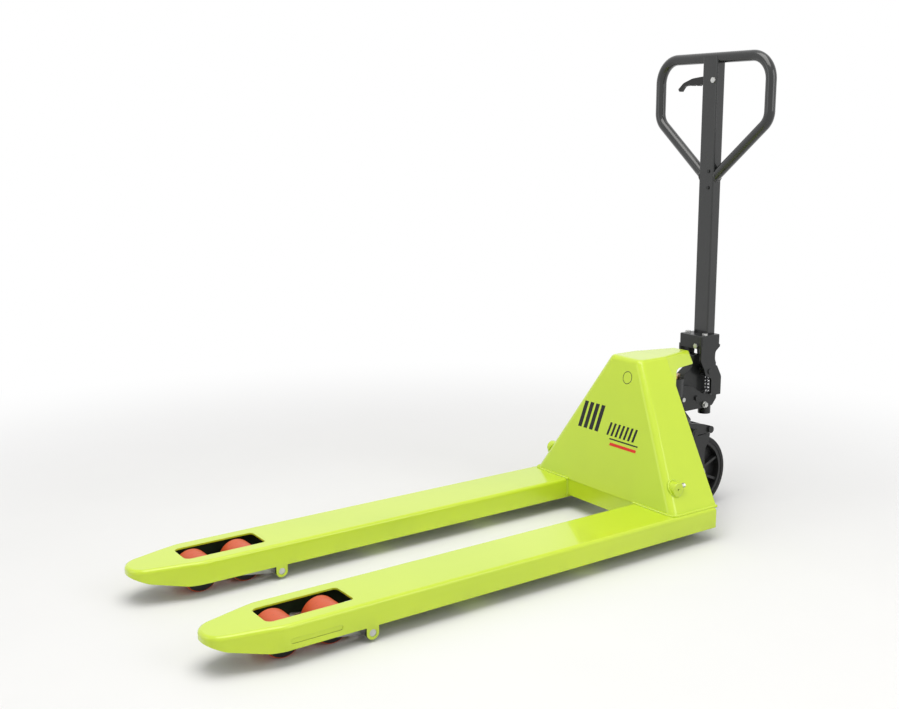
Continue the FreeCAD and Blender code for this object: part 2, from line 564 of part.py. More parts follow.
def head_block():
    """Cast lug over the ram: its sides carry on the housing's, its end is bull-nosed, its underside is hollow."""
    root = HOUSING_DEPTH_TOP - 12
    neck = HEAD_UNDERSIDE - HEAD_NECK_DROP
    end = STEER_Y + HEAD_HALF_WIDTH
    slope = (HOUSING_FOOT_WIDTH - HOUSING_TOP_WIDTH) / 2 / (HOUSING_TOP - HOUSING_FOOT)
    outlines = []
    for z in (neck, HOUSING_TOP):
        half = HOUSING_TOP_WIDTH / 2 + (HOUSING_TOP - z) * slope
        corners = [V(-half, root, z), V(half, root, z), V(half - HEAD_TAPER, end, z), V(HEAD_TAPER - half, end, z)]
        outlines.append(Part.makePolygon(corners + corners[:1]))
    lug = Part.makeLoft(outlines, True, True)
    lug = lug.makeFillet(HOUSING_TOP_RADIUS, [edge for edge in lug.Edges if edge.CenterOfMass.y > root + 1
                                              and edge.CenterOfMass.z > neck + 1 and abs(edge.CenterOfMass.x) > 1])
    side = plate_x([(rear_line(neck), neck), (rear_line(HOUSING_TOP), HOUSING_TOP), (end, HOUSING_TOP, HEAD_END_RADIUS),
                    (end, HEAD_UNDERSIDE, HEAD_END_RADIUS), (STEER_Y - 40, HEAD_UNDERSIDE, 30)],
                   -HOUSING_FOOT_WIDTH, HOUSING_FOOT_WIDTH)
    lug = lug.common(side)
    top = HOUSING_TOP - HOUSING_WALL
    tongue = box(-HOUSING_TOP_WIDTH / 2 + HOUSING_WALL + 9, HOUSING_TOP_WIDTH / 2 - HOUSING_WALL - 9,
                 HOUSING_FRONT_LEAN + 4 * HOUSING_WALL, STEER_Y, top - HEAD_TONGUE_DEPTH, top)
    block = lug.fuse(tongue).removeSplitter()
    return block.cut(bar_z(RAM_DIAMETER / 2 + SEAT_GAP, 0, STEER_Y, HEAD_UNDERSIDE - 1, RAM_TOP))


def cross_panel():
    half = FORK_CENTRE - FORK_WIDTH / 2 - SEAT_GAP
    web = box(-half, half, 0.5, 0.5 + PANEL_THICKNESS, PANEL_BOTTOM, HOUSING_FOOT)
    flange = box(-half, half, 0.5, 0.5 + PANEL_FLANGE, HOUSING_FOOT - PANEL_THICKNESS, HOUSING_FOOT)
    lip = box(-half, half, 0.5, 0.5 + PANEL_FLANGE / 2, PANEL_BOTTOM, PANEL_BOTTOM + PANEL_THICKNESS)
    return web.fuse([flange, lip]).removeSplitter()


# Rocker shaft, its bosses and the rocker that turns on it
def rocker_boss():
    inner = BOSS_END - BOSS_LENGTH
    body = bar_x(BOSS_DIAMETER / 2, inner, BOSS_END, ROCKER_Y, ROCKER_Z)
    body = body.makeFillet(2, [edge for edge in body.Edges if edge.BoundBox.XMin > BOSS_END - 1])
    bore = bar_x(SHAFT_DIAMETER / 2 + SEAT_GAP, inner, BOSS_END - BOSS_FLOOR, ROCKER_Y, ROCKER_Z)
    vent = bar_x(2.5, inner, BOSS_END + 1, ROCKER_Y, ROCKER_Z)
    return body.cut([bore, vent, boss_bolt_bar(3 + SEAT_GAP, 0, BOSS_DIAMETER)])


def boss_bolt_bar(radius, start, end):
    """A bar along the lock bolt, from the rocker's axis outwards, behind and slightly upwards."""
    tilt = math.radians(BOSS_BOLT_TILT)
    way = V(0, math.cos(tilt), math.sin(tilt))
    base = V(BOSS_END - 6, ROCKER_Y, ROCKER_Z)
    return Part.makeCylinder(radius, end - start, base + way * start, way)


def boss_lock_bolt():
    """Hexagon bolt with a washer, through the boss's wall against the shaft."""
    tilt = math.radians(BOSS_BOLT_TILT)
    way = V(0, math.cos(tilt), math.sin(tilt))
    seat = BOSS_DIAMETER / 2 + 1.5
    base = V(BOSS_END - 6, ROCKER_Y, ROCKER_Z)
    head = hexagon(10, 6, base + way * (seat + 1.2), way)
    nut = boss_bolt_bar(5.4, BOSS_DIAMETER / 2 - 1.5, seat + 1.2)
    nut = nut.cut(bar_x(BOSS_DIAMETER / 2, 0, BOSS_END + 1, ROCKER_Y, ROCKER_Z))
    shank = boss_bolt_bar(3, SHAFT_DIAMETER / 2 + SEAT_GAP, seat + 2)
    return head.fuse([nut, shank]).removeSplitter()


def rocker_shaft():
    end = BOSS_END - BOSS_FLOOR - 0.5
    return bar_x(SHAFT_DIAMETER / 2, -end, end, ROCKER_Y, ROCKER_Z)


def upper_arm():
    eye = HEAD_PIN_Z - UPPER_ARM_BOTTOM
    top = UPPER_ARM_BOTTOM + UPPER_ARM_HEIGHT
    outer = UPPER_ARM_INNER + UPPER_ARM_THICKNESS
    tube = ROCKER_TUBE_RADIUS
    knee = STEER_Y - UPPER_ARM_KNEE
    web = plate_x([(ROCKER_Y - tube * 0.8, ROCKER_Z + tube * 0.6), (ROCKER_Y + UPPER_ARM_SHOULDER, top, 30), (STEER_Y, top),
                   (STEER_Y, UPPER_ARM_BOTTOM), (knee, UPPER_ARM_BOTTOM, 14),
                   (ROCKER_Y + tube * 0.92, ROCKER_Z - tube * 0.4)], UPPER_ARM_INNER, outer)
    return web.fuse(bar_x(eye, UPPER_ARM_INNER, outer, STEER_Y, HEAD_PIN_Z)).removeSplitter()


def rocker_frame():
    half = BOSS_END - BOSS_LENGTH - SIDE_GAP
    tube = bar_x(ROCKER_TUBE_RADIUS, -half, half, ROCKER_Y, ROCKER_Z)
    inner = PUSH_EYE_WIDTH / 2 + SIDE_GAP
    lower = []
    for side in (-1, 1):
        x0, x1 = sorted((ROD_LINE + side * inner, ROD_LINE + side * (inner + LOWER_ARM_PLATE)))
        lower.append(link_x(ROCKER_Y, ROCKER_Z, ROCKER_TUBE_RADIUS, LOWER_PIN_Y, LOWER_PIN_Z,
                            PUSH_EYE_RADIUS - 1, x0, x1))
    arms = []
    for shape in lower + [upper_arm()]:
        arms.extend(both_sides(shape))
    frame = tube.fuse(arms).removeSplitter()
    reach = OVERALL_WIDTH / 2
    return frame.cut([bar_x(SHAFT_DIAMETER / 2 + RUNNING_FIT, -reach, reach, ROCKER_Y, ROCKER_Z),
                      bar_x(HEAD_PIN_DIAMETER / 2 + SEAT_GAP, -reach, reach, STEER_Y, HEAD_PIN_Z),
                      bar_x(PUSH_PIN_DIAMETER / 2 + SEAT_GAP, -reach, reach, LOWER_PIN_Y, LOWER_PIN_Z)])


def rocker_pins():
    """Pins fixed in the rocker: two for the steering head's slots and two for the push rods."""
    head_pin = bar_x(HEAD_PIN_DIAMETER / 2, HEAD_HALF - 1, UPPER_ARM_INNER + UPPER_ARM_THICKNESS + 1,
                     STEER_Y, HEAD_PIN_Z)
    half = PUSH_EYE_WIDTH / 2 + SIDE_GAP + LOWER_ARM_PLATE
    rod_pin = bar_x(PUSH_PIN_DIAMETER / 2, ROD_LINE - half, ROD_LINE + half, LOWER_PIN_Y, LOWER_PIN_Z)
    return both_sides(head_pin), both_sides(rod_pin)


# Steering head: the plate that carries the pump's thrust bearing between two side cheeks
def steering_head():
    front = STEER_Y - HEAD_PLATE_LENGTH / 2
    rear = STEER_Y + HEAD_PLATE_LENGTH / 2
    plate = plate_z([(-HEAD_HALF, front, 24), (HEAD_HALF, front, 24), (HEAD_HALF, rear, 10), (-HEAD_HALF, rear, 10)],
                    HEAD_PLATE_BOTTOM, HEAD_PLATE_TOP)
    base = HEAD_PLATE_BOTTOM
    cheek = plate_x([(STEER_Y - 36, base), (STEER_Y - 36, base + 30, 8), (STEER_Y - 14, base + 38, 8),
                     (STEER_Y + 46, base + 25, 8), (TIE_BAR_Y + 11, base + 15, 8), (TIE_BAR_Y + 12, base, 4)],
                    HEAD_HALF, HEAD_HALF + CHEEK_THICKNESS)
    slack = HEAD_PIN_DIAMETER / 2 + 0.4
    slot_end = STEER_Y + SLOT_TRAVEL + slack
    slot = plate_x([(STEER_Y - slack, HEAD_PIN_Z - slack, slack), (slot_end, HEAD_PIN_Z - slack, slack),
                    (slot_end, HEAD_PIN_Z + slack + 1.6, slack), (STEER_Y - slack, HEAD_PIN_Z + slack + 1.6, slack)],
                   HEAD_HALF - 2, HEAD_HALF + CHEEK_THICKNESS + 1)
    head = plate.fuse(both_sides(cheek)).removeSplitter()
    return head.cut(both_sides(slot) + [
        bar_x(TIE_BAR_DIAMETER / 2 + SEAT_GAP, -2 * HEAD_HALF, 2 * HEAD_HALF, TIE_BAR_Y, base + 8.5),
        bar_z(SPIGOT_RADIUS + RUNNING_FIT, 0, STEER_Y, base - 1, HEAD_PLATE_TOP + 1)])


def tie_bar():
    z = HEAD_PLATE_BOTTOM + 8.5
    reach = HEAD_HALF + CHEEK_THICKNESS
    bar = bar_x(TIE_BAR_DIAMETER / 2, -reach, reach, TIE_BAR_Y, z)
    ends = []
    for side in (-1, 1):
        x0, x1 = sorted((side * reach, side * (reach + 6)))
        head = bar_x(TIE_BAR_DIAMETER / 2 + 1.5, x0, x1, TIE_BAR_Y, z)
        ends.append(head.makeChamfer(1, [edge for edge in head.Edges if abs(edge.CenterOfMass.x) > reach + 5]))
    return bar.fuse(ends).removeSplitter()


def ring_z(outer, inner, y, z0, z1):
    return bar_z(outer, 0, y, z0, z1).cut(bar_z(inner, 0, y, z0 - 1, z1 + 1))


def ring_x(outer, inner, x0, x1, y, z):
    return bar_x(outer, x0, x1, y, z).cut(bar_x(inner, x0 - 1, x1 + 1, y, z))


# Pump: a casting with the ram's cylinder, the yoke's pivot boss and the pump piston's cylinder
def pump_body():
    barrel = bar_z(BARREL_RADIUS, 0, STEER_Y, FLANGE_BOTTOM, BARREL_TOP)
    barrel = barrel.makeFillet(4, [edge for edge in barrel.Edges if edge.BoundBox.ZMin > BARREL_TOP - 1])
    flange = bar_z(FLANGE_RADIUS, 0, STEER_Y, FLANGE_BOTTOM, FLANGE_BOTTOM + 8)
    skirt = Part.makeCone(FLANGE_RADIUS, BARREL_RADIUS, 28, V(0, STEER_Y, FLANGE_BOTTOM + 8))
    spigot = bar_z(SPIGOT_RADIUS, 0, STEER_Y, CROWN_TOP, FLANGE_BOTTOM)
    shank = bar_z(SHANK_RADIUS, 0, STEER_Y, SHANK_BOTTOM, CROWN_TOP)
    deck = PISTON_Y - PISTON_CAP_RADIUS
    bridge = plate_x([(STEER_Y, BRIDGE_BOTTOM), (STEER_Y, BRIDGE_TOP + 20), (STEER_Y + 56, BRIDGE_TOP + 8, 10),
                      (deck - 26, BRIDGE_TOP - 16, 10), (deck, BRIDGE_TOP - 20, 5), (deck, BRIDGE_BOTTOM + 6, 10),
                      (deck - 20, BRIDGE_BOTTOM)], -BRIDGE_HALF_WIDTH, BRIDGE_HALF_WIDTH)
    web = plate_x([(STEER_Y + 20, BRIDGE_BOTTOM), (STEER_Y + 20, BARREL_TOP - 12), (YOKE_PIVOT_Y - 38, YOKE_PIVOT_Z + 14, 6),
                   (YOKE_PIVOT_Y - 32, YOKE_PIVOT_Z + 44, 5), (YOKE_PIVOT_Y - 6, YOKE_PIVOT_Z + 44, 5),
                   (YOKE_PIVOT_Y + 2, YOKE_PIVOT_Z + 10), (YOKE_PIVOT_Y + 11, YOKE_PIVOT_Z - 8),
                   (deck - 5, BRIDGE_TOP - 24)], -14, 14)
    boss_half = YOKE_HALF_WIDTH - YOKE_CHEEK - SIDE_GAP
    boss = bar_x(YOKE_PIN_DIAMETER / 2 + 5, -boss_half, boss_half, YOKE_PIVOT_Y, YOKE_PIVOT_Z)
    cylinder = bar_z(PISTON_BOSS_RADIUS, 0, PISTON_Y, PISTON_BOSS_BOTTOM, PISTON_BOSS_TOP)
    rear = REAR_REACH - 2
    link = plate_x([(deck - 30, BRIDGE_BOTTOM + 2), (PISTON_Y, BRIDGE_BOTTOM + 2, 6), (rear, BRIDGE_BOTTOM + 20, 6),
                    (rear, PISTON_BOSS_TOP - 2), (deck - 30, PISTON_BOSS_TOP - 2)], 2 - BRIDGE_HALF_WIDTH, BRIDGE_HALF_WIDTH - 2)
    body = barrel.fuse([flange, skirt, spigot, shank, bridge, web, boss, cylinder, link] + flank_plugs()).removeSplitter()
    bores = [bar_z(RAM_DIAMETER / 2 + RUNNING_FIT, 0, STEER_Y, SHANK_BOTTOM + 6, BARREL_TOP + 1),
             bar_z(PISTON_RADIUS + RUNNING_FIT, 0, PISTON_Y, PISTON_BOSS_BOTTOM + 4, PISTON_BOSS_TOP + 1),
             bar_x(YOKE_PIN_DIAMETER / 2 + SEAT_GAP, -boss_half - 1, boss_half + 1, YOKE_PIVOT_Y, YOKE_PIVOT_Z)]
    return body.cut(bores)


def gland_nut():
    body = hexagon(52, GLAND_HEIGHT, V(0, STEER_Y, BARREL_TOP), V(0, 0, 1))
    return body.cut(bar_z(RAM_DIAMETER / 2 + RUNNING_FIT, 0, STEER_Y, BARREL_TOP - 1, BARREL_TOP + GLAND_HEIGHT + 1))


def ram():
    return bar_z(RAM_DIAMETER / 2, 0, STEER_Y, RAM_TOP - RAM_LENGTH, RAM_TOP)


def ram_seat():
    return ring_z(RAM_DIAMETER / 2 + 8, RAM_DIAMETER / 2 + SEAT_GAP, STEER_Y, HEAD_UNDERSIDE - 14, HEAD_UNDERSIDE)


def release_valve():
    """Knurled valve cap with a hexagon, screwed into the pump's left flank."""
    x = BRIDGE_HALF_WIDTH
    y = YOKE_PIVOT_Y - 6
    z = BRIDGE_BOTTOM + 9
    return bar_x(8, x, x + 5, y, z).fuse(hexagon(12, 5, V(x + 5, y, z), V(1, 0, 0))).removeSplitter()


def flank_plugs():
    """Painted plug screws on both flanks of the pump."""
    plugs = []
    for side in (-1, 1):
        face = side * (BRIDGE_HALF_WIDTH - 0.5)
        base = V(face, STEER_Y + FLANK_PLUG_REACH, BRIDGE_BOTTOM + FLANK_PLUG_RISE)
        plugs.append(hexagon(13, 5, base, V(side, 0, 0)))
    return plugs


def filler_plug():
    return hexagon(11, 6, V(BARREL_RADIUS - 1, STEER_Y + 14, BARREL_TOP - FILLER_PLUG_DROP), V(1, 0, 0)).cut(
        bar_z(BARREL_RADIUS + SEAT_GAP, 0, STEER_Y, FLANGE_BOTTOM, BARREL_TOP))


# Wheel bracket: a crown on the pump's shank, a middle leg and two outboard legs to the axle
def axle_bracket():
    crown_bottom = CROWN_TOP - CROWN_THICKNESS
    outer = WHEEL_INNER_FACE + WHEEL_WIDTH + LEG_THICKNESS + 4.5
    middle = WHEEL_INNER_FACE - 2.5
    crown = plate_z([(-outer, STEER_Y + 6, 6), (outer, STEER_Y + 6, 6), (outer, WHEEL_Y + 32, 12),
                     (-outer, WHEEL_Y + 32, 12)], crown_bottom, CROWN_TOP)
    disc = bar_z(SPIGOT_RADIUS + 8, 0, STEER_Y, crown_bottom, CROWN_TOP)
    leg = plate_x([(STEER_Y - SHANK_RADIUS - 3, CROWN_TOP), (STEER_Y - SHANK_RADIUS - 3, SHANK_BOTTOM - 8, 14),
                   (WHEEL_Y - 22, WHEEL_RADIUS - 8, 14), (WHEEL_Y, WHEEL_RADIUS - 22, 14),
                   (WHEEL_Y + 22, WHEEL_RADIUS, 14), (WHEEL_Y + 22, CROWN_TOP)], -middle, middle)
    hub = bar_x(AXLE_DIAMETER / 2 + 6, -middle - 2, middle + 2, WHEEL_Y, WHEEL_RADIUS)
    guard = plate_x([(STEER_Y + 8, CROWN_TOP), (WHEEL_Y - 14, WHEEL_RADIUS + 46, 20), (WHEEL_Y - 14, WHEEL_RADIUS),
                     (WHEEL_Y + 14, WHEEL_RADIUS), (WHEEL_Y + 11, WHEEL_RADIUS + GUARD_WAIST, 14),
                     (WHEEL_Y + GUARD_REACH - 4, WHEEL_RADIUS + GUARD_RISE, 14), (WHEEL_Y + GUARD_REACH, CROWN_TOP)],
                    outer - LEG_THICKNESS, outer)
    guard = guard.fuse([bar_x(14, outer - LEG_THICKNESS, outer, WHEEL_Y, WHEEL_RADIUS),
                        bar_x(13, WHEEL_INNER_FACE + WHEEL_WIDTH + SIDE_GAP, outer, WHEEL_Y, WHEEL_RADIUS)])
    body = crown.fuse([disc, leg, hub] + both_sides(guard)).removeSplitter()
    return body.cut([bar_z(SHANK_RADIUS + SEAT_GAP, 0, STEER_Y, SHANK_BOTTOM - 1, CROWN_TOP + 1),
                     bar_x(AXLE_DIAMETER / 2 + SEAT_GAP, -2 * outer, 2 * outer, WHEEL_Y, WHEEL_RADIUS)])


def axle():
    half = WHEEL_INNER_FACE + WHEEL_WIDTH + LEG_THICKNESS + 9
    return bar_x(AXLE_DIAMETER / 2, -half, half, WHEEL_Y, WHEEL_RADIUS)


def axle_clip():
    face = WHEEL_INNER_FACE + WHEEL_WIDTH + LEG_THICKNESS + 4.5
    return ring_x(AXLE_DIAMETER / 2 + 4, AXLE_DIAMETER / 2 + SEAT_GAP, face + 0.1, face + 2, WHEEL_Y, WHEEL_RADIUS)


def steer_tyre():
    x0 = WHEEL_INNER_FACE
    x1 = x0 + WHEEL_WIDTH
    body = bar_x(WHEEL_RADIUS, x0, x1, WHEEL_Y, WHEEL_RADIUS)
    body = body.makeFillet(5, [edge for edge in body.Edges if edge.Length > 4 * WHEEL_RADIUS])
    return body.cut(bar_x(WHEEL_RADIUS - TYRE_THICKNESS + SEAT_GAP, x0 - 1, x1 + 1, WHEEL_Y, WHEEL_RADIUS))


def steer_hub():
    """Moulded hub: a rim and a boss joined by a thin disc and radial ribs."""
    x0 = WHEEL_INNER_FACE + 1.5
    x1 = WHEEL_INNER_FACE + WHEEL_WIDTH - 1.5
    rim_radius = WHEEL_RADIUS - TYRE_THICKNESS
    middle = (x0 + x1) / 2
    rim = ring_x(rim_radius, rim_radius - 9, x0, x1, WHEEL_Y, WHEEL_RADIUS)
    disc = bar_x(rim_radius - 5, middle - 4, middle + 4, WHEEL_Y, WHEEL_RADIUS)
    boss = bar_x(WHEEL_BEARING_RADIUS + 7, x0, x1, WHEEL_Y, WHEEL_RADIUS)
    ribs = []
    for index in range(HUB_RIBS):
        rib = box(x0 + 4, x1 - 4, -3.5, 3.5, WHEEL_BEARING_RADIUS, rim_radius - 4)
        rib.rotate(V(0, 0, 0), V(1, 0, 0), 360.0 * (index + 0.5) / HUB_RIBS)
        ribs.append(rib.translated(V(0, WHEEL_Y, WHEEL_RADIUS)))
    hub = rim.fuse([disc, boss] + ribs).removeSplitter()
    seats = [bar_x(WHEEL_BEARING_RADIUS + SEAT_GAP, WHEEL_INNER_FACE - 1, WHEEL_INNER_FACE + WHEEL_BEARING_WIDTH,
                   WHEEL_Y, WHEEL_RADIUS),
             bar_x(WHEEL_BEARING_RADIUS + SEAT_GAP, WHEEL_INNER_FACE + WHEEL_WIDTH - WHEEL_BEARING_WIDTH,
                   WHEEL_INNER_FACE + WHEEL_WIDTH + 1, WHEEL_Y, WHEEL_RADIUS),
             bar_x(AXLE_DIAMETER / 2 + 2, x0 - 1, x1 + 1, WHEEL_Y, WHEEL_RADIUS)]
    return hub.cut(seats)


def wheel_bearings():
    inner = AXLE_DIAMETER / 2 + RUNNING_FIT
    x0 = WHEEL_INNER_FACE
    x1 = WHEEL_INNER_FACE + WHEEL_WIDTH
    return [ring_x(WHEEL_BEARING_RADIUS, inner, x0, x0 + WHEEL_BEARING_WIDTH, WHEEL_Y, WHEEL_RADIUS),
            ring_x(WHEEL_BEARING_RADIUS, inner, x1 - WHEEL_BEARING_WIDTH, x1, WHEEL_Y, WHEEL_RADIUS)]


# Pump piston, its cap and its return spring
def pump_piston():
    bottom = PISTON_BOSS_BOTTOM + 4 + PISTON_STROKE + 0.6
    return bar_z(PISTON_RADIUS, 0, PISTON_Y, bottom, PISTON_TOP - PISTON_CAP_HEIGHT + 6)


def piston_cap():
    base = PISTON_TOP - PISTON_CAP_HEIGHT
    cap = bar_z(PISTON_CAP_RADIUS, 0, PISTON_Y, base, PISTON_TOP)
    cap = cap.makeFillet(2, [edge for edge in cap.Edges if edge.BoundBox.ZMin > PISTON_TOP - 1])
    return cap.cut(bar_z(PISTON_RADIUS + SEAT_GAP, 0, PISTON_Y, base - 1, base + 6))


def piston_spring():
    height = PISTON_TOP - PISTON_CAP_HEIGHT - PISTON_BOSS_TOP - 2 * SPRING_WIRE
    radius = PISTON_CAP_RADIUS - SPRING_WIRE
    helix = Part.makeHelix(height / SPRING_TURNS, height, radius)
    helix.translate(V(0, PISTON_Y, PISTON_BOSS_TOP + SPRING_WIRE))
    start = V(radius, PISTON_Y, PISTON_BOSS_TOP + SPRING_WIRE)
    section = Part.Wire(Part.makeCircle(SPRING_WIRE, start, V(0, 1, 0)))
    return Part.Wire(helix.Edges).makePipeShell([section], True, True)


# Handle: a forked yoke on the pump, a rectangular pole and a round loop
def yoke():
    half = YOKE_HALF_WIDTH
    block = plate_z([(-half, YOKE_FRONT, 6), (half, YOKE_FRONT, 6), (half, YOKE_REAR, 6), (-half, YOKE_REAR, 6)],
                    YOKE_BLOCK_BOTTOM, YOKE_BLOCK_TOP)
    block = block.makeFillet(2.5, rim_of(block))
    foot = PISTON_BOSS_TOP - 1
    rear = REAR_REACH
    cheek = plate_x([(YOKE_FRONT, YOKE_BLOCK_BOTTOM + 8), (YOKE_REAR, YOKE_BLOCK_BOTTOM + 8),
                     (YOKE_REAR, YOKE_BLOCK_BOTTOM + 2), (YOKE_PIVOT_Y + 20, YOKE_BLOCK_BOTTOM - 10, 10),
                     (YOKE_PIVOT_Y + 18, YOKE_PIVOT_Z + 30, 30), (rear, YOKE_PIVOT_Z - 17, 18), (rear, foot, 2),
                     (YOKE_PIVOT_Y + 23, foot, 2), (YOKE_PIVOT_Y + 8, foot + 6, 4),
                     (YOKE_PIVOT_Y + 8, YOKE_PIVOT_Z - 20, 8), (YOKE_PIVOT_Y - 14, YOKE_PIVOT_Z - 12, 10),
                     (YOKE_PIVOT_Y - 20, YOKE_PIVOT_Z + 6, 8), (YOKE_FRONT, YOKE_PIVOT_Z + 30, 12)],
                    half - YOKE_CHEEK, half)
    ear0 = YOKE_CHEEK + CAM_ROLLER_RADIUS - 1
    ear = plate_x([(CAM_Y - 14, YOKE_BLOCK_BOTTOM + 4), (CAM_Y + 8, YOKE_BLOCK_BOTTOM + 4), (CAM_Y + 9, CAM_Z),
                   (CAM_Y - 8, CAM_Z)], ear0, ear0 + YOKE_CHEEK)
    ear = ear.fuse(bar_x(9, ear0, ear0 + YOKE_CHEEK, CAM_Y, CAM_Z))
    tab = box(-14, 14, POLE_Y + POLE_DEPTH / 2 + SEAT_GAP, POLE_Y + POLE_DEPTH / 2 + 8,
              YOKE_BLOCK_TOP - 14, YOKE_BLOCK_TOP + 42)
    body = block.fuse(both_sides(cheek) + both_sides(ear) + [tab]).removeSplitter()
    pocket = box(-POLE_WIDTH / 2 - SEAT_GAP, POLE_WIDTH / 2 + SEAT_GAP, POLE_Y - POLE_DEPTH / 2 - SEAT_GAP,
                 POLE_Y + POLE_DEPTH / 2 + SEAT_GAP, POLE_BOTTOM, YOKE_BLOCK_TOP + 50)
    rod_hole = bar_z(CONTROL_ROD_RADIUS + 0.7, -8, POLE_Y, YOKE_BLOCK_BOTTOM - 1, POLE_BOTTOM + 1)
    return body.cut([pocket, rod_hole,
                     bar_x(YOKE_PIN_DIAMETER / 2 + RUNNING_FIT, -half - 1, half + 1, YOKE_PIVOT_Y, YOKE_PIVOT_Z),
                     bar_x(CAM_PIN_DIAMETER / 2 + SEAT_GAP, -half, half, CAM_Y, CAM_Z)])


def yoke_pin():
    half = YOKE_HALF_WIDTH + 3
    pin = bar_x(YOKE_PIN_DIAMETER / 2, -half, half, YOKE_PIVOT_Y, YOKE_PIVOT_Z)
    return pin.makeChamfer(1, [edge for edge in pin.Edges if abs(edge.CenterOfMass.x) > half - 1])


def cam_roller():
    half = YOKE_CHEEK + CAM_ROLLER_RADIUS - 1 - SIDE_GAP
    return ring_x(CAM_ROLLER_RADIUS, CAM_PIN_DIAMETER / 2 + RUNNING_FIT, -half, half, CAM_Y, CAM_Z)


def cam_pin():
    half = 2 * YOKE_CHEEK + CAM_ROLLER_RADIUS
    return bar_x(CAM_PIN_DIAMETER / 2, -half, half, CAM_Y, CAM_Z)


def yoke_bolts():
    """Bolt heads on the clamp block: one in front and one on top on each side of the pole."""
    front = [hexagon(12, 5, V(22, YOKE_FRONT, YOKE_BLOCK_BOTTOM + 8), V(0, -1, 0))]
    top = [hexagon(13, 5, V(side * 31, YOKE_FRONT + 22, YOKE_BLOCK_TOP), V(0, 0, 1)) for side in (-1, 1)]
    return front + top


def pole_outline(half_width, half_depth, radius):
    return [(-half_width, POLE_Y - half_depth, radius), (half_width, POLE_Y - half_depth, radius),
            (half_width, POLE_Y + half_depth, radius), (-half_width, POLE_Y + half_depth, radius)]


def pole():
    outer = plate_z(pole_outline(POLE_WIDTH / 2, POLE_DEPTH / 2, 4), POLE_BOTTOM, LOOP_CENTRE_Z + 4)
    inner = plate_z(pole_outline(POLE_WIDTH / 2 - POLE_WALL, POLE_DEPTH / 2 - POLE_WALL, 1.5),
                    POLE_BOTTOM - 1, LOOP_CENTRE_Z + 5)
    slot = box(-POLE_WIDTH, 0, POLE_Y - LEVER_THICKNESS / 2 - 1, POLE_Y + LEVER_THICKNESS / 2 + 1,
               LEVER_PIVOT_Z - 23, LEVER_PIVOT_Z + 22)
    pin = bar_y(LEVER_PIN_DIAMETER / 2 + SEAT_GAP, LEVER_PIVOT_X, POLE_Y - POLE_DEPTH, POLE_Y + POLE_DEPTH, LEVER_PIVOT_Z)
    cope = bar_x(LOOP_TUBE_RADIUS + SEAT_GAP, -POLE_WIDTH, POLE_WIDTH, POLE_Y, LOOP_CENTRE_Z)
    return outer.cut([inner, slot, pin, cope])


def loop_path():
    """Closed run of the loop's middle line: from the pole, out, up, across and back."""
    side = LOOP_HALF_WIDTH - LOOP_TUBE_RADIUS
    start = POLE_WIDTH / 2 - 8
    corners = [(start, LOOP_JOIN_Z - 12), (side, LOOP_ELBOW_Z, LOOP_ELBOW_RADIUS),
               (side, LOOP_CENTRE_Z, LOOP_TOP_RADIUS), (-side, LOOP_CENTRE_Z, LOOP_TOP_RADIUS),
               (-side, LOOP_ELBOW_Z, LOOP_ELBOW_RADIUS), (-start, LOOP_JOIN_Z - 12)]
    outline = face_of(corners, lambda p: V(p.x, POLE_Y, p.y)).OuterWire
    runs = [edge for edge in outline.OrderedEdges
            if not (abs(edge.CenterOfMass.x) < 0.01 and edge.CenterOfMass.z < LOOP_ELBOW_Z)]
    return runs, V(start, POLE_Y, LOOP_JOIN_Z - 12)


def loop():
    runs, start = loop_path()
    path = Part.Wire(Part.sortEdges(runs)[0])
    first = path.OrderedEdges[0]
    end = first.valueAt(first.FirstParameter)
    heading = first.tangentAt(first.FirstParameter)
    tube = []
    for radius in (LOOP_TUBE_RADIUS, LOOP_TUBE_RADIUS - LOOP_TUBE_WALL):
        section = Part.Wire(Part.makeCircle(radius, end, heading))
        tube.append(path.makePipeShell([section], True, False))
    body = tube[0].cut(tube[1])
    half = POLE_WIDTH / 2 + SEAT_GAP
    trim = box(-half, half, POLE_Y - POLE_DEPTH, POLE_Y + POLE_DEPTH, LOOP_JOIN_Z - POLE_WIDTH, LOOP_ELBOW_Z)
    return body.cut(trim)


def pole_rivets():
    """Round heads on the pole's front face, where the loop's lower ends are fixed."""
    front = POLE_Y - POLE_DEPTH / 2
    return [bar_y(4.5, 8, front - 2.5, front, LOOP_JOIN_Z + 3), bar_y(4.5, 8, front - 2.5, front, LOOP_JOIN_Z - 39)]


def lever_pin():
    half = POLE_DEPTH / 2 + 3
    shank = bar_y(LEVER_PIN_DIAMETER / 2, LEVER_PIVOT_X, POLE_Y - half + 2, POLE_Y + half, LEVER_PIVOT_Z)
    return shank.fuse(bar_y(7, LEVER_PIVOT_X, POLE_Y - half - 1, POLE_Y - POLE_DEPTH / 2, LEVER_PIVOT_Z)).removeSplitter()


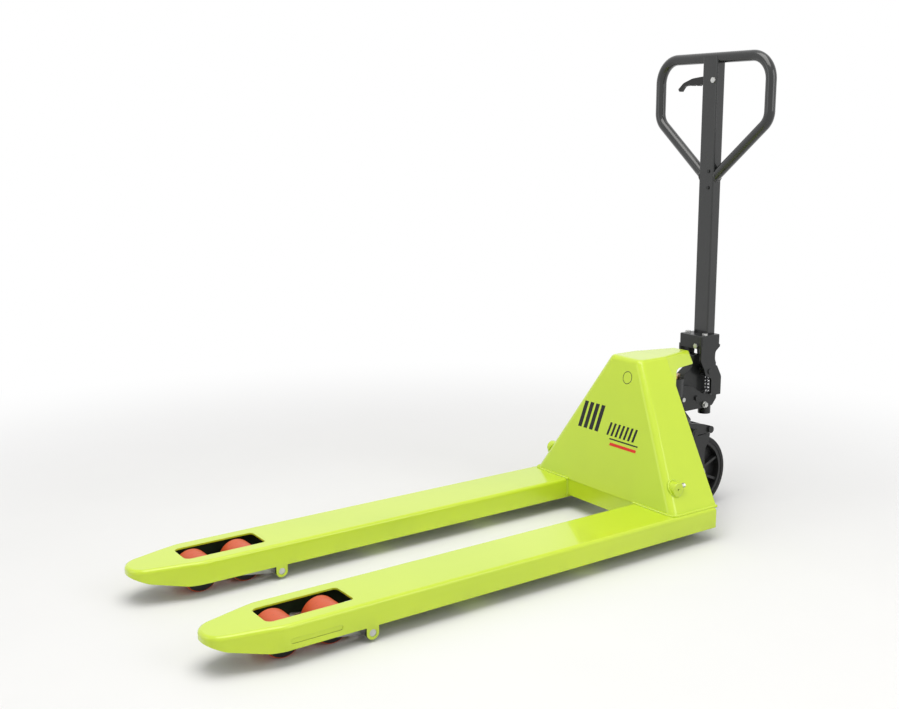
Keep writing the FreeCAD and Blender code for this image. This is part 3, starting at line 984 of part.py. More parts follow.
def hand_lever():
    """Finger lever with a hooked tip and three finger hollows below."""
    x = LEVER_PIVOT_X
    z = LEVER_PIVOT_Z
    reach = LEVER_REACH
    root = x - LEVER_ROOT
    tip = x - reach
    blade = plate_y([(x + 7, z + 7, 6.9), (x - 4, z + 7), (root, z + 11), (x - 0.62 * reach, z + 7, 0.45 * reach),
                     (x - 0.86 * reach, z - 4, 20), (tip, z - 20, 3), (tip + 7, z - 27, 3),
                     (x - 0.86 * reach, z - 13, 6), (x - 0.8 * reach, z - 11), (root, z - 13), (x - 22, z - 10.5),
                     (x - 4, z - 7), (x + 7, z - 7, 6.9)],
                    POLE_Y - LEVER_THICKNESS / 2, POLE_Y + LEVER_THICKNESS / 2)
    hollows = [bar_y(10, x - 52 - 21 * index, POLE_Y - LEVER_THICKNESS, POLE_Y + LEVER_THICKNESS, z - 18.5)
               for index in range(3)]
    hole = bar_y(LEVER_PIN_DIAMETER / 2 + RUNNING_FIT, x, POLE_Y - LEVER_THICKNESS, POLE_Y + LEVER_THICKNESS, z)
    return blade.cut(hollows + [hole])


def control_rod():
    top = LEVER_PIVOT_Z - 12.4
    return bar_z(CONTROL_ROD_RADIUS, -8, POLE_Y, YOKE_BLOCK_BOTTOM - 8, top)


def build():
    os.makedirs("parts", exist_ok=True)
    left_fork = fork()
    save("fork_left", left_fork)
    save("fork_right", mirrored(left_fork))
    save("mast_housing", housing())
    save("head_block", head_block())
    save("cross_panel", cross_panel())
    save("rocker_bosses", *both_sides(rocker_boss()))
    save("rocker_shaft", rocker_shaft())
    save("boss_lock_bolts", *both_sides(boss_lock_bolt()))
    save("roller_arm_pins", *roller_arm_pins())
    save("ram", ram())
    save("ram_seat", ram_seat())
    head_pins, rod_pins = rocker_pins()
    save("rocker_frame", rocker_frame())
    save("rocker_head_pins", *head_pins)
    save("push_rod_pins", *rod_pins)
    under_fork = (("push_rod_", [push_rod()]), ("roller_arm_", [roller_arm()]), ("arm_pins_", [arm_push_pin(), bogie_pin()]),
                  ("bogie_", [bogie()]), ("roller_axles_", roller_axles()),
                  ("front_roller_", [roller(-1)]), ("rear_roller_", [roller(1)]))
    for stem, shapes in under_fork:
        placed = [shape.translated(V(FORK_CENTRE, 0, 0)) for shape in shapes]
        save(stem + "left", *placed)
        save(stem + "right", *[mirrored(shape) for shape in placed])
    save("steering_head_plate", steering_head())
    save("head_tie_bar", tie_bar())
    save("thrust_bearing", ring_z(SPIGOT_RADIUS + 13, SPIGOT_RADIUS + SEAT_GAP, STEER_Y, HEAD_PLATE_TOP, FLANGE_BOTTOM))
    save("pump_body", pump_body())
    save("gland_nut", gland_nut())
    save("release_valve", release_valve())
    save("filler_plug", filler_plug())
    save("retaining_ring", ring_z(SPIGOT_RADIUS + 6, SPIGOT_RADIUS + SEAT_GAP, STEER_Y, CROWN_TOP + 0.1,
                                  HEAD_PLATE_BOTTOM - 0.3))
    save("axle_bracket", axle_bracket())
    save("axle", axle())
    save("axle_clips", *both_sides(axle_clip()))
    save("yoke_pin", yoke_pin())
    for side, name in ((1, "left"), (-1, "right")):
        parts = (("steer_tyre_", [steer_tyre()]), ("steer_hub_", [steer_hub()]), ("wheel_bearings_", wheel_bearings()))
        for stem, shapes in parts:
            save(stem + name, *[shape if side == 1 else mirrored(shape) for shape in shapes])
    save("pump_piston", pump_piston())
    save("piston_cap", piston_cap())
    save("piston_spring", piston_spring())
    save("handle_yoke", yoke())
    save("cam_roller", cam_roller())
    save("cam_roller_pin", cam_pin())
    save("yoke_bolts", *yoke_bolts())
    save("handle_pole", pole())
    save("handle_loop", loop())
    save("pole_rivets", *pole_rivets())
    save("lever_pin", lever_pin())
    save("hand_lever", hand_lever())
    save("control_rod", control_rod())


build()
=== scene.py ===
import math

import bmesh
import bpy
from mathutils import Matrix, Vector


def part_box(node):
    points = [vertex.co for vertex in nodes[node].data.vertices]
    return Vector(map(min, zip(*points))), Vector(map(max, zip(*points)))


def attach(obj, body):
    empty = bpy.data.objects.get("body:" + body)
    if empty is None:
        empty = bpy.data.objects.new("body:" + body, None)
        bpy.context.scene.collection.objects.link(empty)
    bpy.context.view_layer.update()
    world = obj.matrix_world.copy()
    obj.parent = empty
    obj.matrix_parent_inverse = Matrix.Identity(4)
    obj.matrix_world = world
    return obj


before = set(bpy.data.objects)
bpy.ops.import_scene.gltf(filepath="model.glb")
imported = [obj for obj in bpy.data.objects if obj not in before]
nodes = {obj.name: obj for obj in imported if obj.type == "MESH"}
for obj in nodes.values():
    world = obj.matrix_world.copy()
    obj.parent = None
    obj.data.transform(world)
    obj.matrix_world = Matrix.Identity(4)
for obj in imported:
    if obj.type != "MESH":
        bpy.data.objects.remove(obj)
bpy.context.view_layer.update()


# Forks: two channels pressed from 4 mm sheet, open below, with a drawn nose and a window over
# the rollers. The outside has a thick lime enamel, and the faces within each channel are painted near black: painted
# shade, for the shadow there.
class Value:
    """A shader value. Arithmetic on it adds Math nodes to its finish."""

    def __init__(self, finish, link):
        self.finish = finish
        self.link = link

    def maths(self, operation, *others):
        sockets = dict(enumerate((self,) + others))
        return self.finish.node("Math", {"operation": operation}, sockets)

    def __add__(self, other):
        return self.maths("ADD", other)

    __radd__ = __add__

    def __mul__(self, other):
        return self.maths("MULTIPLY", other)

    __rmul__ = __mul__

    def __sub__(self, other):
        return self.maths("SUBTRACT", other)

    def __rsub__(self, other):
        return (self * -1) + other

    def __pow__(self, power):
        return self.maths("POWER", power)

    def above(self, low, high):
        """0 below low, 1 above high, and smooth between them."""
        return self.finish.node("MapRange", {"interpolation_type": "SMOOTHSTEP"},
                                {"Value": self, "From Min": low, "From Max": high})

    def below(self, low, high):
        return 1 - self.above(low, high)


class Finish:
    """A material in the making: node() adds any node, and set() wires or fills the shader's sockets."""

    def __init__(self, name, metallic=0.0, **fixed):
        self.material = bpy.data.materials.new(name)
        self.material.use_nodes = True
        self.tree = self.material.node_tree
        self.shader = self.tree.nodes["Principled BSDF"]
        self.set(Metallic=metallic, **fixed)
        self.place = self.node("TexCoord", output="Object")

    def node(self, kind, settings=None, sockets=None, output=0):
        made = self.tree.nodes.new("ShaderNode" + kind)
        for name, value in (settings or {}).items():
            if name == "stops":
                ramp = made.color_ramp.elements
                while len(ramp) < len(value):
                    ramp.new(1)
                for stop, (position, colour) in zip(ramp, value):
                    stop.position = position
                    stop.color = (*colour, 1)
            else:
                setattr(made, name, value)
        for name, value in (sockets or {}).items():
            if isinstance(value, Value):
                self.tree.links.new(value.link, made.inputs[name])
            else:
                made.inputs[name].default_value = value
        return Value(self, made.outputs[output])

    def noise(self, scale, detail=3.0, roughness=0.5, stretch=None):
        place = self.place
        if stretch:
            place = self.node("Mapping", {}, {"Vector": place, "Scale": stretch})
        return self.node("TexNoise", {}, {"Vector": place, "Scale": scale, "Detail": detail, "Roughness": roughness})

    def axes(self, vector=None):
        split = self.node("SeparateXYZ", {}, {0: vector or self.place})
        return [Value(self, output) for output in split.link.node.outputs]

    def mix(self, mask, first, second):
        """A colour that goes from first to second as the mask goes from 0 to 1."""
        return self.node("Mix", {"data_type": "RGBA"}, {0: mask, 6: first, 7: second}, output=2)

    def bump(self, height, distance, strength=1.0, under=None):
        sockets = {"Height": height, "Distance": distance, "Strength": strength}
        if under:
            sockets["Normal"] = under
        return self.node("Bump", {}, sockets)

    def soft_edges(self, radius):
        """Normals that round sharp edges off, as paint or tumbling does."""
        return self.node("Bevel", {"samples": 4}, {"Radius": radius})

    def set(self, **values):
        for socket, value in values.items():
            target = self.shader.inputs[socket.replace("_", " ")]
            if isinstance(value, Value):
                self.tree.links.new(value.link, target)
            else:
                target.default_value = value
        return self.material


def give(material, *names):
    for name in names:
        mesh = nodes[name].data
        mesh.materials.clear()
        mesh.materials.append(material)


LIME = (0.575, 0.735, 0.022, 1)
LIME_DEEP = (0.50, 0.67, 0.020, 1)
LIME_RUBBED = (0.63, 0.76, 0.085, 1)
CHANNEL_SHADE_COLOUR = (0.012, 0.022, 0.006, 1)
SHEET = 0.004


def lime_enamel(name, painted_channel_shade=False):
    """Thick lime enamel: faint clouds, a little grime near the floor, orange peel, and painted shade within a fork's
    channel.
    """
    paint = Finish(name, Roughness=0.35, Specular_IOR_Level=0.35, Coat_Weight=0.75, Coat_Roughness=0.06, Coat_IOR=1.5)
    x, y, z = paint.axes()
    cloud = paint.noise(2.6, 4.0)
    rubs = paint.noise(9.0, 6.0, 0.72, stretch=(16.0, 0.6, 1.0)).above(0.63, 0.74)
    tops = z.above(0.081, 0.0835) * z.below(0.0845, 0.087)
    grime = z.below(0.0, 0.07) * paint.noise(14.0, 5.0).above(0.42, 0.8) * 0.5
    colour = paint.mix(cloud.above(0.35, 0.7) * 0.6, LIME, LIME_DEEP)
    colour = paint.mix(rubs * tops * 0.35, colour, LIME_RUBBED)
    colour = paint.mix(grime, colour, (0.20, 0.23, 0.05, 1))
    rough = 0.33 + cloud * 0.05 + rubs * tops * 0.12 + grime * 0.2
    coat = 0.75 - grime * 0.5
    if painted_channel_shade:
        facing = paint.axes(paint.node("TexCoord", output="Normal"))
        fork_low, fork_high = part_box("fork_left")
        aside = x.maths("ABSOLUTE") - (fork_low.x + fork_high.x) / 2
        outwards = x.maths("SIGN") * aside * facing[0] + (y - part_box("bogie_left")[1].y) * facing[1]
        outwards = outwards + (z - 0.06) * facing[2]
        # Painted shade: faces within the channel, below its top, are painted near black, with more roughness and no
        # coat, for the shadow there.
        painted_shade_mask = outwards.below(-0.003, 0.0) * z.below(0.0786, 0.0796)
        colour = paint.mix(painted_shade_mask, colour, CHANNEL_SHADE_COLOUR)
        rough = rough + painted_shade_mask * 0.35
        coat = coat * (1 - painted_shade_mask)
    peel = paint.bump(paint.noise(420.0, 2.0), 0.00012, 0.35, under=paint.soft_edges(0.0016))
    return paint.set(Base_Color=colour, Roughness=rough, Coat_Weight=coat, Normal=peel)


give(lime_enamel("fork_enamel", painted_channel_shade=True), "fork_left", "fork_right")




# Mast housing: one 6 mm plate folded into a leaning hood over the pump, welded round its foot to
# both forks and to the cross panel. The head lug is a casting welded into its rear edge.
class Tree:
    """A Geometry Nodes tree in the making. Its inputs have names, and it ends in real geometry with a material."""

    KINDS = {int: "NodeSocketInt", float: "NodeSocketFloat"}

    def __init__(self, name, **inputs):
        self.tree = bpy.data.node_groups.new(name, "GeometryNodeTree")
        sockets = self.tree.interface
        sockets.new_socket("Geometry", in_out="INPUT", socket_type="NodeSocketGeometry")
        for label, value in inputs.items():
            socket = sockets.new_socket(label.replace("_", " "), in_out="INPUT", socket_type=self.KINDS[type(value)])
            socket.default_value = value
        sockets.new_socket("Finish", in_out="INPUT", socket_type="NodeSocketMaterial")
        sockets.new_socket("Geometry", in_out="OUTPUT", socket_type="NodeSocketGeometry")
        self.entry = self.tree.nodes.new("NodeGroupInput")

    def input(self, label):
        return self.entry.outputs[label]

    def node(self, kind, settings=None, sockets=None, output=0):
        made = self.tree.nodes.new(kind)
        for name, value in (settings or {}).items():
            setattr(made, name, value)
        for name, value in (sockets or {}).items():
            if isinstance(value, bpy.types.NodeSocket):
                self.tree.links.new(value, made.inputs[name])
            else:
                made.inputs[name].default_value = value
        return made.outputs[output]

    def maths(self, operation, *values):
        return self.node("ShaderNodeMath", {"operation": operation}, dict(enumerate(values)))

    def vector(self, x=0.0, y=0.0, z=0.0):
        return self.node("ShaderNodeCombineXYZ", {}, {0: x, 1: y, 2: z})

    def close(self, geometry):
        real = self.node("GeometryNodeRealizeInstances", {}, {"Geometry": geometry})
        done = self.node("GeometryNodeSetMaterial", {}, {"Geometry": real, "Material": self.input("Finish")})
        leave = self.tree.nodes.new("NodeGroupOutput")
        self.tree.links.new(done, leave.inputs["Geometry"])
        return self.tree


def grow(name, tree, finish, body, slot, runs=(), place=None, **sizes):
    """Runs a tree on some runs of points, keeps the result as one plain mesh, and lets it ride on a body."""
    points = [point for run in runs for point in run]
    edges = []
    for run in runs:
        first = len(edges) + runs.index(run)
        edges.extend((first + step, first + step + 1) for step in range(len(run) - 1))
    seed = bpy.data.meshes.new(name)
    seed.from_pydata(points, edges, [])
    made = bpy.data.objects.new(name, seed)
    bpy.context.scene.collection.objects.link(made)
    modifier = made.modifiers.new("grown", "NODES")
    modifier.node_group = tree
    values = {label.replace("_", " "): value for label, value in sizes.items()}
    values["Finish"] = finish
    for socket in tree.interface.items_tree:
        if socket.in_out == "INPUT" and socket.name in values:
            modifier[socket.identifier] = values[socket.name]
    mesh = bpy.data.meshes.new_from_object(made.evaluated_get(bpy.context.evaluated_depsgraph_get()))
    made.modifiers.remove(modifier)
    made.data = mesh
    if place:
        mesh.transform(place)
    if not mesh.materials:
        mesh.materials.append(finish)
    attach(made, body)
    return made


def weld_tree():
    """Overlapping flat drops along a run, as a hand-laid weld leaves them."""
    weld = Tree("weld_run", Width=0.006, Height=0.0035, Pitch=0.004, Seed=3)
    run = weld.node("GeometryNodeMeshToCurve", {}, {"Mesh": weld.input("Geometry")})
    run = weld.node("GeometryNodeResampleCurve", {"mode": "LENGTH"}, {"Curve": run, "Length": weld.input("Pitch")})
    drop = weld.node("GeometryNodeMeshIcoSphere", {}, {"Radius": 1.0, "Subdivisions": 2})
    along = weld.node("GeometryNodeInputTangent")
    turn = weld.node("FunctionNodeAlignRotationToVector", {"axis": "X"}, {"Vector": along})
    uneven = weld.node("FunctionNodeRandomValue", {"data_type": "FLOAT"},
                       {2: 0.9, 3: 1.1, "Seed": weld.input("Seed")}, output=1)
    half = weld.maths("MULTIPLY", weld.input("Width"), 0.5)
    size = weld.vector(weld.maths("MULTIPLY", weld.input("Pitch"), 1.05), weld.maths("MULTIPLY", half, uneven),
                       weld.input("Height"))
    drops = weld.node("GeometryNodeInstanceOnPoints", {},
                      {"Points": run, "Instance": drop, "Rotation": turn, "Scale": size})
    return weld.close(drops)


MAST_TOP_HALF = 0.056
MAST_LEAN = 0.0755
MAST_FOLD = 0.020
FORK_INNER = 0.1275
mast_low, mast_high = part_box("mast_housing")
mast_height = mast_high.z - mast_low.z
mast_side_slope = (mast_high.x - MAST_TOP_HALF) / mast_height
mast_enamel = lime_enamel("mast_enamel")
give(mast_enamel, "mast_housing", "head_block", "cross_panel")


def mast_foot_run(side):
    """From the fork's inner edge round the fold and back along the side, just above the fork's top."""
    fork_top = mast_low.z + 0.0012
    foot = mast_high.x + 0.001
    front = mast_low.y - 0.001
    run = [(side * FORK_INNER, front, fork_top), (side * (foot - MAST_FOLD), front, fork_top)]
    for step in range(1, 7):
        angle = math.radians(15 * step)
        run.append((side * (foot - MAST_FOLD + MAST_FOLD * math.sin(angle)), front + MAST_FOLD - MAST_FOLD * math.cos(angle),
                    fork_top))
    return run + [(side * foot, mast_low.y + 0.146, fork_top)]


weld_run = weld_tree()
grow("mast_foot_weld", weld_run, mast_enamel, "chassis", "lime_paint",
     runs=[mast_foot_run(1), mast_foot_run(-1)], Width=0.0085, Height=0.0042, Pitch=0.0034)
panel_low, panel_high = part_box("cross_panel")
panel_welds = [[(side * (panel_high.x - 0.0004), panel_low.y - 0.0004, z) for z in (panel_low.z, panel_high.z - 0.002)]
               for side in (-1, 1)]
grow("cross_panel_weld", weld_run, mast_enamel, "chassis", "lime_paint",
     runs=panel_welds, Width=0.006, Height=0.003, Pitch=0.0034)


# Marks on the mast's front: plain slanted bars cut from black foil, a thin red bar under them,
# and a thin ring. They are stuck to the enamel, and say nothing.
def bar_tree():
    """A row of upright bars, leaning over to one side."""
    bars = Tree("slanted_bars", Count=3, Pitch=0.02, Width=0.01, Height=0.04, Slant=0.3, Thickness=0.0004)
    row = bars.node("GeometryNodeMeshLine", {}, {"Count": bars.input("Count"),
                                                  "Offset": bars.vector(bars.input("Pitch"))})
    size = bars.vector(bars.input("Width"), bars.input("Thickness"), bars.input("Height"))
    bar = bars.node("GeometryNodeMeshCube", {}, {"Size": size})
    lift = bars.maths("MULTIPLY", bars.input("Height"), 0.5)
    bar = bars.node("GeometryNodeTransform", {}, {"Geometry": bar, "Translation": bars.vector(0.0, 0.0, lift)})
    row = bars.node("GeometryNodeInstanceOnPoints", {}, {"Points": row, "Instance": bar})
    row = bars.node("GeometryNodeRealizeInstances", {}, {"Geometry": row})
    place = bars.node("ShaderNodeSeparateXYZ", {}, {0: bars.node("GeometryNodeInputPosition")}, output=2)
    over = bars.maths("MULTIPLY", place, bars.input("Slant"))
    row = bars.node("GeometryNodeSetPosition", {}, {"Geometry": row, "Offset": bars.vector(over)})
    return bars.close(row)


def ring_tree():
    ring = Tree("flat_ring", Radius=0.016, Line=0.0016, Thickness=0.0004)
    path = ring.node("GeometryNodeCurvePrimitiveCircle", {}, {"Resolution": 64, "Radius": ring.input("Radius")})
    profile = ring.node("GeometryNodeCurvePrimitiveQuadrilateral", {},
                        {0: ring.input("Line"), 1: ring.input("Thickness")})
    return ring.close(ring.node("GeometryNodeCurveToMesh", {}, {"Curve": path, "Profile Curve": profile}))


def on_mast(x, z):
    """A place on the mast's leaning front: x runs across, and the piece's own z runs up the plate."""
    lean = math.atan2(MAST_LEAN, mast_height)
    front = mast_low.y + (z - mast_low.z) * math.tan(lean)
    return Matrix.Translation((x, front, z)) @ Matrix.Rotation(-lean, 4, "X")


foil_black = Finish("foil_black", Roughness=0.4, Specular_IOR_Level=0.3, Base_Color=(0.008, 0.008, 0.010, 1))
foil_black.set(Roughness=0.38 + foil_black.noise(60.0) * 0.1)
foil_red = Finish("foil_red", Roughness=0.4, Specular_IOR_Level=0.3, Base_Color=(0.72, 0.035, 0.02, 1))
foil_red.set(Roughness=0.38 + foil_red.noise(60.0) * 0.1)
slanted_bars = bar_tree()
grow("front_mark_bold", slanted_bars, foil_black.material, "chassis", "black_gloss_paint", place=on_mast(-0.118, 0.224),
     Count=4, Pitch=0.0215, Width=0.0135, Height=0.070, Slant=0.16)
grow("front_mark_fine", slanted_bars, foil_black.material, "chassis", "black_gloss_paint", place=on_mast(-0.010, 0.2235),
     Count=7, Pitch=0.0155, Width=0.0075, Height=0.034, Slant=0.25)
grow("front_mark_line", slanted_bars, foil_black.material, "chassis", "black_gloss_paint", place=on_mast(0.052, 0.2145),
     Count=1, Width=0.104, Height=0.0035, Slant=0.25)
grow("front_mark_red", slanted_bars, foil_red.material, "chassis", "lime_paint", place=on_mast(0.052, 0.2000),
     Count=1, Width=0.096, Height=0.0075, Slant=0.25)
grow("front_mark_ring", ring_tree(), foil_black.material, "chassis", "black_gloss_paint",
     place=on_mast(0.0243, 0.374) @ Matrix.Rotation(math.radians(90), 4, "X"), Radius=0.0155)


# Rocker bosses: turned steel bushes, welded through both sides of the mast and painted with it.
# Each holds an end of the rocker's cross shaft, which a small zinc-plated bolt locks.
def zinc_plate(name, painted_shade=0.0):
    """Zinc-plated steel: a grey metal with soft clouds, a faint yellow cast and fine handling marks. The second
    argument makes a darker copy, as painted shade.
    """
    zinc = Finish(name, metallic=1.0, Roughness=0.32)
    cloud = zinc.noise(38.0, 4.0)
    marks = zinc.noise(160.0, 3.0, 0.6, stretch=(1.0, 8.0, 1.0)).above(0.56, 0.7)
    light = (0.62 - painted_shade, 0.62 - painted_shade, 0.60 - painted_shade, 1)
    deep = (0.47 - painted_shade, 0.475 - painted_shade, 0.46 - painted_shade, 1)
    colour = zinc.mix(cloud.above(0.35, 0.65), light, deep)
    normal = zinc.bump(zinc.noise(500.0, 2.0), 0.0001, 0.25, under=zinc.soft_edges(0.0005))
    return zinc.set(Base_Color=colour, Roughness=0.28 + cloud * 0.14 + marks * 0.1, Normal=normal)


def boss_weld_run(side):
    """The closed seam where a boss goes through the mast's tilted side."""
    boss_low, boss_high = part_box("rocker_bosses")
    radius = (boss_high.y - boss_low.y) / 2 + 0.0008
    middle = (boss_low + boss_high) / 2
    run = []
    for step in range(33):
        angle = math.tau * step / 32
        z = middle.z + radius * math.sin(angle)
        x = mast_high.x - (z - mast_low.z) * mast_side_slope
        run.append((side * x, middle.y + radius * math.cos(angle), z))
    return run


zinc = zinc_plate("zinc_plate")
give(mast_enamel, "rocker_bosses")
give(zinc, "boss_lock_bolts")
grow("boss_weld", weld_run, mast_enamel, "chassis", "lime_paint",
     runs=[boss_weld_run(1), boss_weld_run(-1)], Width=0.006, Height=0.003, Pitch=0.003)


# Rocker: the forged bell crank behind the mast, with its cross shaft and pins. Its long arms take
# the lift from the steering head, and its short arms push the rods under the forks.
def black_enamel(name, gloss, grain, edge=0.0012):
    """Black enamel on cast or forged steel: the deeper the grain, the duller it is."""
    black = Finish(name, Specular_IOR_Level=0.32, Coat_Roughness=0.08, Coat_IOR=1.5)
    cloud = black.noise(7.0, 4.0)
    x, y, z = black.axes()
    dust = black.noise(30.0, 6.0, 0.65).above(0.5, 0.8) * 0.35
    colour = black.mix(cloud.above(0.3, 0.7), (0.0045, 0.0055, 0.0055, 1), (0.0085, 0.0095, 0.0095, 1))
    colour = black.mix(dust, colour, (0.022, 0.023, 0.022, 1))
    height = black.noise(190.0, 5.0, 0.62) * grain + black.noise(45.0, 3.0) * grain * 0.6
    normal = black.bump(height, 0.0006, 0.5, under=black.soft_edges(edge))
    return black.set(Base_Color=colour, Roughness=0.46 - gloss * 0.2 + cloud * 0.08 + dust * 0.2,
                     Coat_Weight=gloss - dust * 0.3, Normal=normal)


def polished_steel(name, tone=(0.72, 0.73, 0.74, 1)):
    """Ground and polished steel with fine rings from the grinding wheel."""
    steel = Finish(name, metallic=1.0)
    rings = steel.noise(900.0, 2.0, 0.5, stretch=(0.15, 0.15, 1.0))
    smear = steel.noise(18.0, 4.0).above(0.45, 0.7)
    colour = steel.mix(smear * 0.4, tone, (0.50, 0.50, 0.49, 1))
    return steel.set(Base_Color=colour, Roughness=0.14 + rings * 0.08 + smear * 0.1)


cast_black = black_enamel("cast_black", gloss=0.35, grain=0.5)
steel = polished_steel("ground_steel")
give(cast_black, "rocker_frame", "rocker_head_pins")
give(steel, "rocker_shaft")
give(zinc, "push_rod_pins")


# Linkage under the forks: push rods, roller arms on their pivot pins, and bogie frames, all
# punched from plate or cut from bar. The push rods are enamelled black, and the rest is zinc plated, so that it
# outlasts the enamel.
# Painted shade: the roller arms and bogies under the forks get a darker copy of the zinc, for the shade they stand in.
shaded_zinc = zinc_plate("shaded_zinc", painted_shade=0.16)
give(cast_black, "push_rod_left", "push_rod_right")
give(shaded_zinc, "roller_arm_left", "roller_arm_right", "bogie_left", "bogie_right")
give(zinc, "roller_arm_pins", "arm_pins_left", "arm_pins_right", "roller_axles_left", "roller_axles_right")


# Load rollers: two in tandem under each fork, cast in orange-red polyurethane. The tread is matt
# from rolling, and the cheeks are painted near black: painted shade, for the shade on the rollers' sides.
def roller_tread(name, roller):
    low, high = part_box(roller)
    tread = Finish(name, Specular_IOR_Level=0.4)
    x, y, z = tread.axes()
    half = (high.x - low.x) / 2
    radius = (high.z - low.z) / 2
    aside = (x.maths("ABSOLUTE") - abs(low.x + high.x) / 2).maths("ABSOLUTE")
    across = y - (low.y + high.y) / 2
    upright = z - (low.z + high.z) / 2
    reach = (across * across + upright * upright).maths("SQRT")
    # Painted shade: the cheeks, all but a thin rim by the tread, are painted near black, for the shade on the rollers'
    # sides.
    painted_shade_cheeks = aside.above(half - 0.0006, half - 0.0003) * reach.below(radius - 0.0026, radius - 0.0022)
    painted_shade_cheeks = painted_shade_cheeks.maths("MAXIMUM", reach.below(radius * 0.62, radius * 0.64))
    scuff = tread.noise(70.0, 5.0, 0.6, stretch=(3.0, 1.0, 1.0)).above(0.5, 0.75)
    grit = tread.noise(260.0, 2.0).above(0.66, 0.72)
    colour = tread.mix(tread.noise(12.0), (0.56, 0.078, 0.022, 1), (0.66, 0.115, 0.036, 1))
    colour = tread.mix(scuff * 0.3, colour, (0.42, 0.075, 0.035, 1))
    colour = tread.mix(grit * 0.35, colour, (0.10, 0.035, 0.02, 1))
    colour = tread.mix(painted_shade_cheeks, colour, (0.012, 0.012, 0.013, 1))
    normal = tread.bump(tread.noise(330.0, 3.0) + scuff * 0.4, 0.0003, 0.4)
    return tread.set(Base_Color=colour, Roughness=0.42 + scuff * 0.15 - painted_shade_cheeks * 0.05, Normal=normal)


for place in ("front", "rear"):
    tread = roller_tread(place + "_roller_tread", place + "_roller_left")
    give(tread, place + "_roller_left", place + "_roller_right")


# Steering head: a plate between two upright cheeks, tied at the back by a bar. The pump stands on
# it on a thrust bearing, and the rocker's pins ride in slots in the cheeks.
give(cast_black, "steering_head_plate", "head_tie_bar")
give(steel, "thrust_bearing")


# Pump: an iron casting that holds the ram's cylinder, with its neck going down through the
# steering head. It is dipped in black enamel, and its valve and plug are screwed in afterwards.
def knurl_tree():
    """Small pyramids round a cap's rim, as a knurling wheel presses them."""
    knurl = Tree("knurled_rim", Count=28, Radius=0.008, Width=0.0035, Tooth=0.0007)
    ring = knurl.node("GeometryNodeCurvePrimitiveCircle", {}, {"Resolution": 64, "Radius": knurl.input("Radius")})
    ring = knurl.node("GeometryNodeResampleCurve", {"mode": "COUNT"}, {"Curve": ring, "Count": knurl.input("Count")})
    size = knurl.vector(knurl.input("Tooth"), knurl.input("Tooth"), knurl.input("Width"))
    tooth = knurl.node("GeometryNodeMeshCube", {}, {"Size": size})
    turn = knurl.node("FunctionNodeAlignRotationToVector", {"axis": "X"},
                      {"Vector": knurl.node("GeometryNodeInputTangent")})
    turn = knurl.node("FunctionNodeRotateRotation", {"rotation_space": "LOCAL"},
                      {"Rotation": turn, "Rotate By": (0.0, 0.0, math.radians(45))})
    return knurl.close(knurl.node("GeometryNodeInstanceOnPoints", {},
                                  {"Points": ring, "Instance": tooth, "Rotation": turn}))


def brass_finish():
    brass = Finish("turned_brass", metallic=1.0)
    tarnish = brass.noise(55.0, 4.0).above(0.4, 0.7)
    colour = brass.mix(tarnish, (0.60, 0.36, 0.13, 1), (0.28, 0.15, 0.06, 1))
    return brass.set(Base_Color=colour, Roughness=0.25 + tarnish * 0.2, Normal=brass.soft_edges(0.0005))


pump_black = black_enamel("pump_black", gloss=0.3, grain=0.9)
brass = brass_finish()
give(pump_black, "pump_body")
give(brass, "gland_nut", "ram_seat")
give(steel, "ram")
give(zinc, "release_valve", "filler_plug", "retaining_ring")
valve_low, valve_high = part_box("release_valve")
cap_middle = Vector((valve_low.x + 0.0025, (valve_low.y + valve_high.y) / 2, (valve_low.z + valve_high.z) / 2))
grow("release_valve_knurl", knurl_tree(), zinc, "pump_unit", "zinc",
     place=Matrix.Translation(cap_middle) @ Matrix.Rotation(math.radians(90), 4, "Y"),
     Count=30, Radius=0.0081, Width=0.0036, Tooth=0.0011)


# Wheel bracket: a pressed crown with a middle leg and two side legs, welded and enamelled. The
# axle goes through all three, and a ring at each end keeps it there.
def washer_tree():
    """Thin washers at the given points, turned to lie across the axle."""
    washers = Tree("washers", Radius=0.016, Bore=0.0103, Thickness=0.0015)
    disc = washers.node("GeometryNodeCurvePrimitiveCircle", {}, {"Resolution": 48, "Radius": washers.maths(
        "MULTIPLY", washers.maths("ADD", washers.input("Radius"), washers.input("Bore")), 0.5)})
    band = washers.node("GeometryNodeCurvePrimitiveQuadrilateral", {}, {
        0: washers.maths("SUBTRACT", washers.input("Radius"), washers.input("Bore")), 1: washers.input("Thickness")})
    disc = washers.node("GeometryNodeCurveToMesh", {}, {"Curve": disc, "Profile Curve": band})
    places = washers.node("GeometryNodeInstanceOnPoints", {},
                          {"Points": washers.input("Geometry"), "Instance": disc,
                           "Rotation": (0.0, math.radians(90), 0.0)})
    return washers.close(places)


give(cast_black, "axle_bracket", "axle")
give(zinc, "axle_clips")
bracket_low, bracket_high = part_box("axle_bracket")
wheel_low, wheel_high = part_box("steer_tyre_left")
wheel_middle = (wheel_low + wheel_high) / 2
grow("axle_washers", washer_tree(), zinc, "pump_unit", "zinc",
     runs=[[(side * (bracket_high.x + 0.0004), wheel_middle.y, wheel_middle.z)] for side in (-1, 1)],
     Radius=0.0165, Bore=0.0101, Thickness=0.0008)
bracket_top = bracket_high.z - 0.0042
bracket_seams = [[(side * (bracket_high.x - 0.0055), bracket_low.y + 0.05, bracket_top),
                  (side * (bracket_high.x - 0.0055), bracket_high.y - 0.012, bracket_top)] for side in (-1, 1)]
grow("bracket_weld", weld_run, cast_black, "pump_unit", "black_satin_cast", runs=bracket_seams,
     Width=0.006, Height=0.003, Pitch=0.0032)


